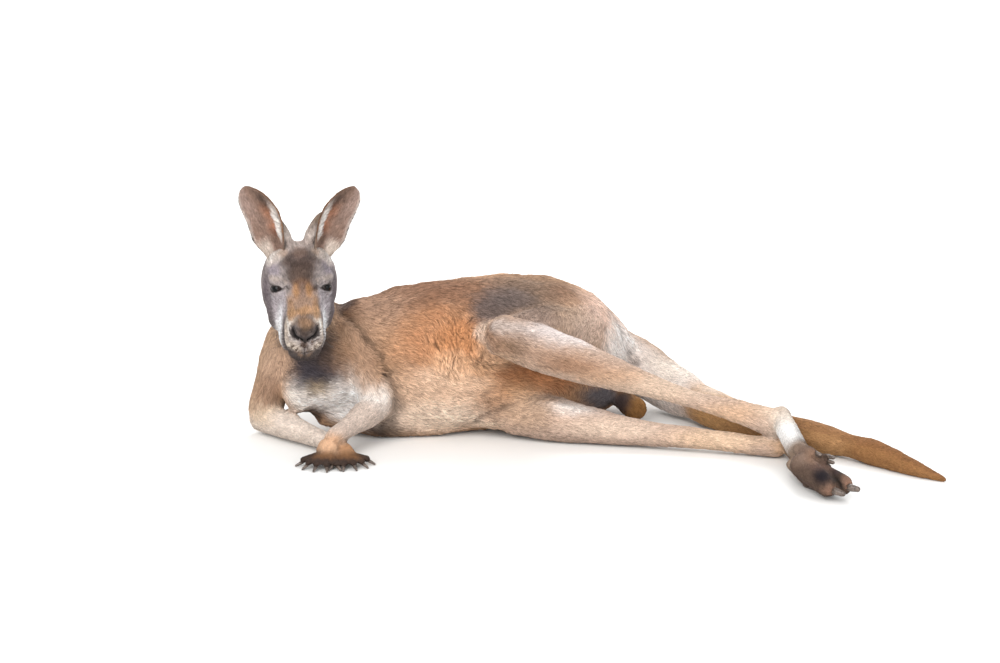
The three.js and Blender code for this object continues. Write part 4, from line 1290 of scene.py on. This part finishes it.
# Underfur and the leather's pebbles are too fine to show, and are drawn coarser than they are.
def skinMaterial():  # skin with short underfur, and bare leather, pebbled and less dull, on the nose and lips
    material, tree, spot = startMaterial("skin under short fur")
    bare = addNode(tree, "Attribute", {"attribute_name": "bare"}).outputs["Fac"]
    shown, fuzz = unevenMarkings(
        tree, spot, {"Scale": waves(1.43), "Detail": 4, "Roughness": 0.65},
        {"From Min": 0.3, "From Max": 0.7, "To Min": 0.7, "To Max": 1.0})
    pebble = addNode(tree, "TexVoronoi", {"Scale": waves(1.11)}, {"Vector": spot})
    links = {"Fac": bare, "Color1": fuzz, "Color2": pebble.outputs["Distance"]}
    height = addNode(tree, "MixRGB", None, links)
    relief = addNode(tree, "Bump", {"Strength": 0.7, "Distance": 0.0007}, {"Height": height.outputs["Color"]})
    rough = addNode(tree, "MapRange", {"To Min": 0.9, "To Max": 0.42}, {"Value": bare})
    links = {"Base Color": shown, "Roughness": rough.outputs["Result"], "Normal": relief.outputs["Normal"]}
    finishMaterial(tree, {"Specular IOR Level": 0.2}, links)
    return material


# The scuffs are drawn coarser than they are, to show.
def hornMaterial():  # worn dark horn with pale scuffs
    material, tree, spot = startMaterial("claw horn")
    settings = {"Scale": waves(3.85), "Detail": 5, "Roughness": 0.7, "Distortion": 1.2}
    scuffs = addNode(tree, "TexNoise", settings, {"Vector": spot}).outputs["Fac"]
    ramp = addNode(tree, "ValToRGB", None, {"Fac": scuffs})
    fillRamp(ramp, (0.35, linear("171210")), (0.66, linear("75655a")))
    relief = addNode(tree, "Bump", {"Strength": 0.35, "Distance": 0.0004}, {"Height": scuffs})
    finishMaterial(tree, {"Roughness": 0.34, "Specular IOR Level": 0.5},
                   {"Base Color": ramp.outputs["Color"], "Normal": relief.outputs["Normal"]})
    return material


def eyeMaterial():  # wet eye, almost black, with fibres in the iris
    material, tree, spot = startMaterial("eye")
    shown, _ = unevenMarkings(
        tree, spot, {"Scale": waves(2), "Detail": 3}, {"To Min": 0.7, "To Max": 1.3})
    finishMaterial(tree, {"Roughness": 0.08, "Specular IOR Level": 0.16}, {"Base Color": shown})
    return material


def hairMaterial():  # stiff dark hair of the whiskers and lashes, paler in places
    material, tree, spot = startMaterial("whisker hair")
    noise = addNode(tree, "TexNoise", {"Scale": waves(11.1), "Detail": 2}, {"Vector": spot})
    ramp = addNode(tree, "ValToRGB", None, {"Fac": noise.outputs["Fac"]})
    fillRamp(ramp, (0, linear("14100e")), (1, linear("3d332d")))
    finishMaterial(tree, {"Roughness": 0.4}, {"Base Color": ramp.outputs["Color"]})
    return material


def paperMaterial():  # dull pale paper for the floor, very slightly uneven
    material, tree, spot = startMaterial("studio paper")
    noise = addNode(tree, "TexNoise", {"Scale": waves(333), "Detail": 4}, {"Vector": spot})
    ramp = addNode(tree, "ValToRGB", None, {"Fac": noise.outputs["Fac"]})
    fillRamp(ramp, *((i, (0.97 + 0.06 * i) * linear(studio["floorColour"])) for i in (0, 1)))
    finishMaterial(tree, {"Roughness": 0.9, "Specular IOR Level": 0.2}, {"Base Color": ramp.outputs["Color"]})
    return material


fur, leather, horn = furMaterial(), skinMaterial(), hornMaterial()
wetEye, hair = eyeMaterial(), hairMaterial()
finishes = [(skinObject, leather, "fur_rufous"), (whiskers, hair, "skin_dark"), (lashes, hair, "skin_dark")]
finishes += [(made, fur, "fur_rufous") for made in coatObjects]
finishes += [(made, horn, "claw") for made in claws]
finishes += [(made, wetEye, "eye") for made in eyes.values()]
for made, material, slot in finishes:
    made.data.materials.clear()
    made.data.materials.append(material)
skinMesh.shade_smooth()
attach(skinObject, "root")
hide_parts(*fleshNodes)
for made in coatObjects:
    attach(made, "root")
report("materials given")


# The studio: pale floor, soft light from the upper left in front, and the camera.
studio = {
    "floor": 60, "floorColour": "e9e7e3", "world": 1.0, "worldColour": (0.945, 0.965, 1.0),
    # The sun's power, softness in degrees, colour and direction.
    "sun": (2.3, 38, (0.985, 0.985, 0.985), (-0.3, -0.86, 0.62)),
    "lightsAim": (-0.1, 0, 0.2),
    "lights": [  # place, power, size, colour
        ((3.4, -3.4, 2.4), 70, 3.0, (0.94, 0.97, 1.0)),
        ((0.6, 3.2, 3.2), 120, 2.4, (0.97, 0.985, 1.0)),
        ((-0.5, -4.6, 0.6), 52, 2.6, (1.0, 0.985, 0.985)),
    ],
    "camera": (-0.1614, -5.6726, 1.6415), "aim": (-0.1614, 0.1492, 0.19), "lens": 113.7,
}


def aimed(made, target):
    made.rotation_euler = (Vector(target) - Vector(made.location)).to_track_quat("-Z", "Y").to_euler()


bm = bmesh.new()
bmesh.ops.create_grid(bm, x_segments=2, y_segments=2, size=studio["floor"] / 2)
floorMesh = bpy.data.meshes.new("studio_floor")
bm.to_mesh(floorMesh)
bm.free()
floor = newObject("studio_floor", floorMesh)
floorMesh.materials.append(paperMaterial())

world = bpy.data.worlds.new("studio")
world.use_nodes = True
background = world.node_tree.nodes["Background"].inputs
background["Color"].default_value = (*studio["worldColour"], 1)
background["Strength"].default_value = studio["world"]
bpy.context.scene.world = world
for number, (spot, power, size, tint) in enumerate(studio["lights"]):
    lamp = bpy.data.lights.new(f"soft_light_{number + 1}", "AREA")
    lamp.energy, lamp.size, lamp.color = power, size, tint
    made = newObject(lamp.name, lamp)
    made.location = spot
    aimed(made, studio["lightsAim"])

power, softness, tint, heading = studio["sun"]
lamp = bpy.data.lights.new("soft_sun", "SUN")
lamp.energy, lamp.angle, lamp.color = power, math.radians(softness), tint
made = newObject(lamp.name, lamp)
made.location = Vector(heading) * 4
aimed(made, (0, 0, 0))

camera = newObject("camera", bpy.data.cameras.new("camera"))
camera.data.lens = studio["lens"]
camera.data.sensor_width = 36
camera.location = studio["camera"]
aimed(camera, studio["aim"])
bpy.context.scene.camera = camera
bpy.context.scene.view_settings.view_transform = "Standard"

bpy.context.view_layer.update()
report("sizes written")
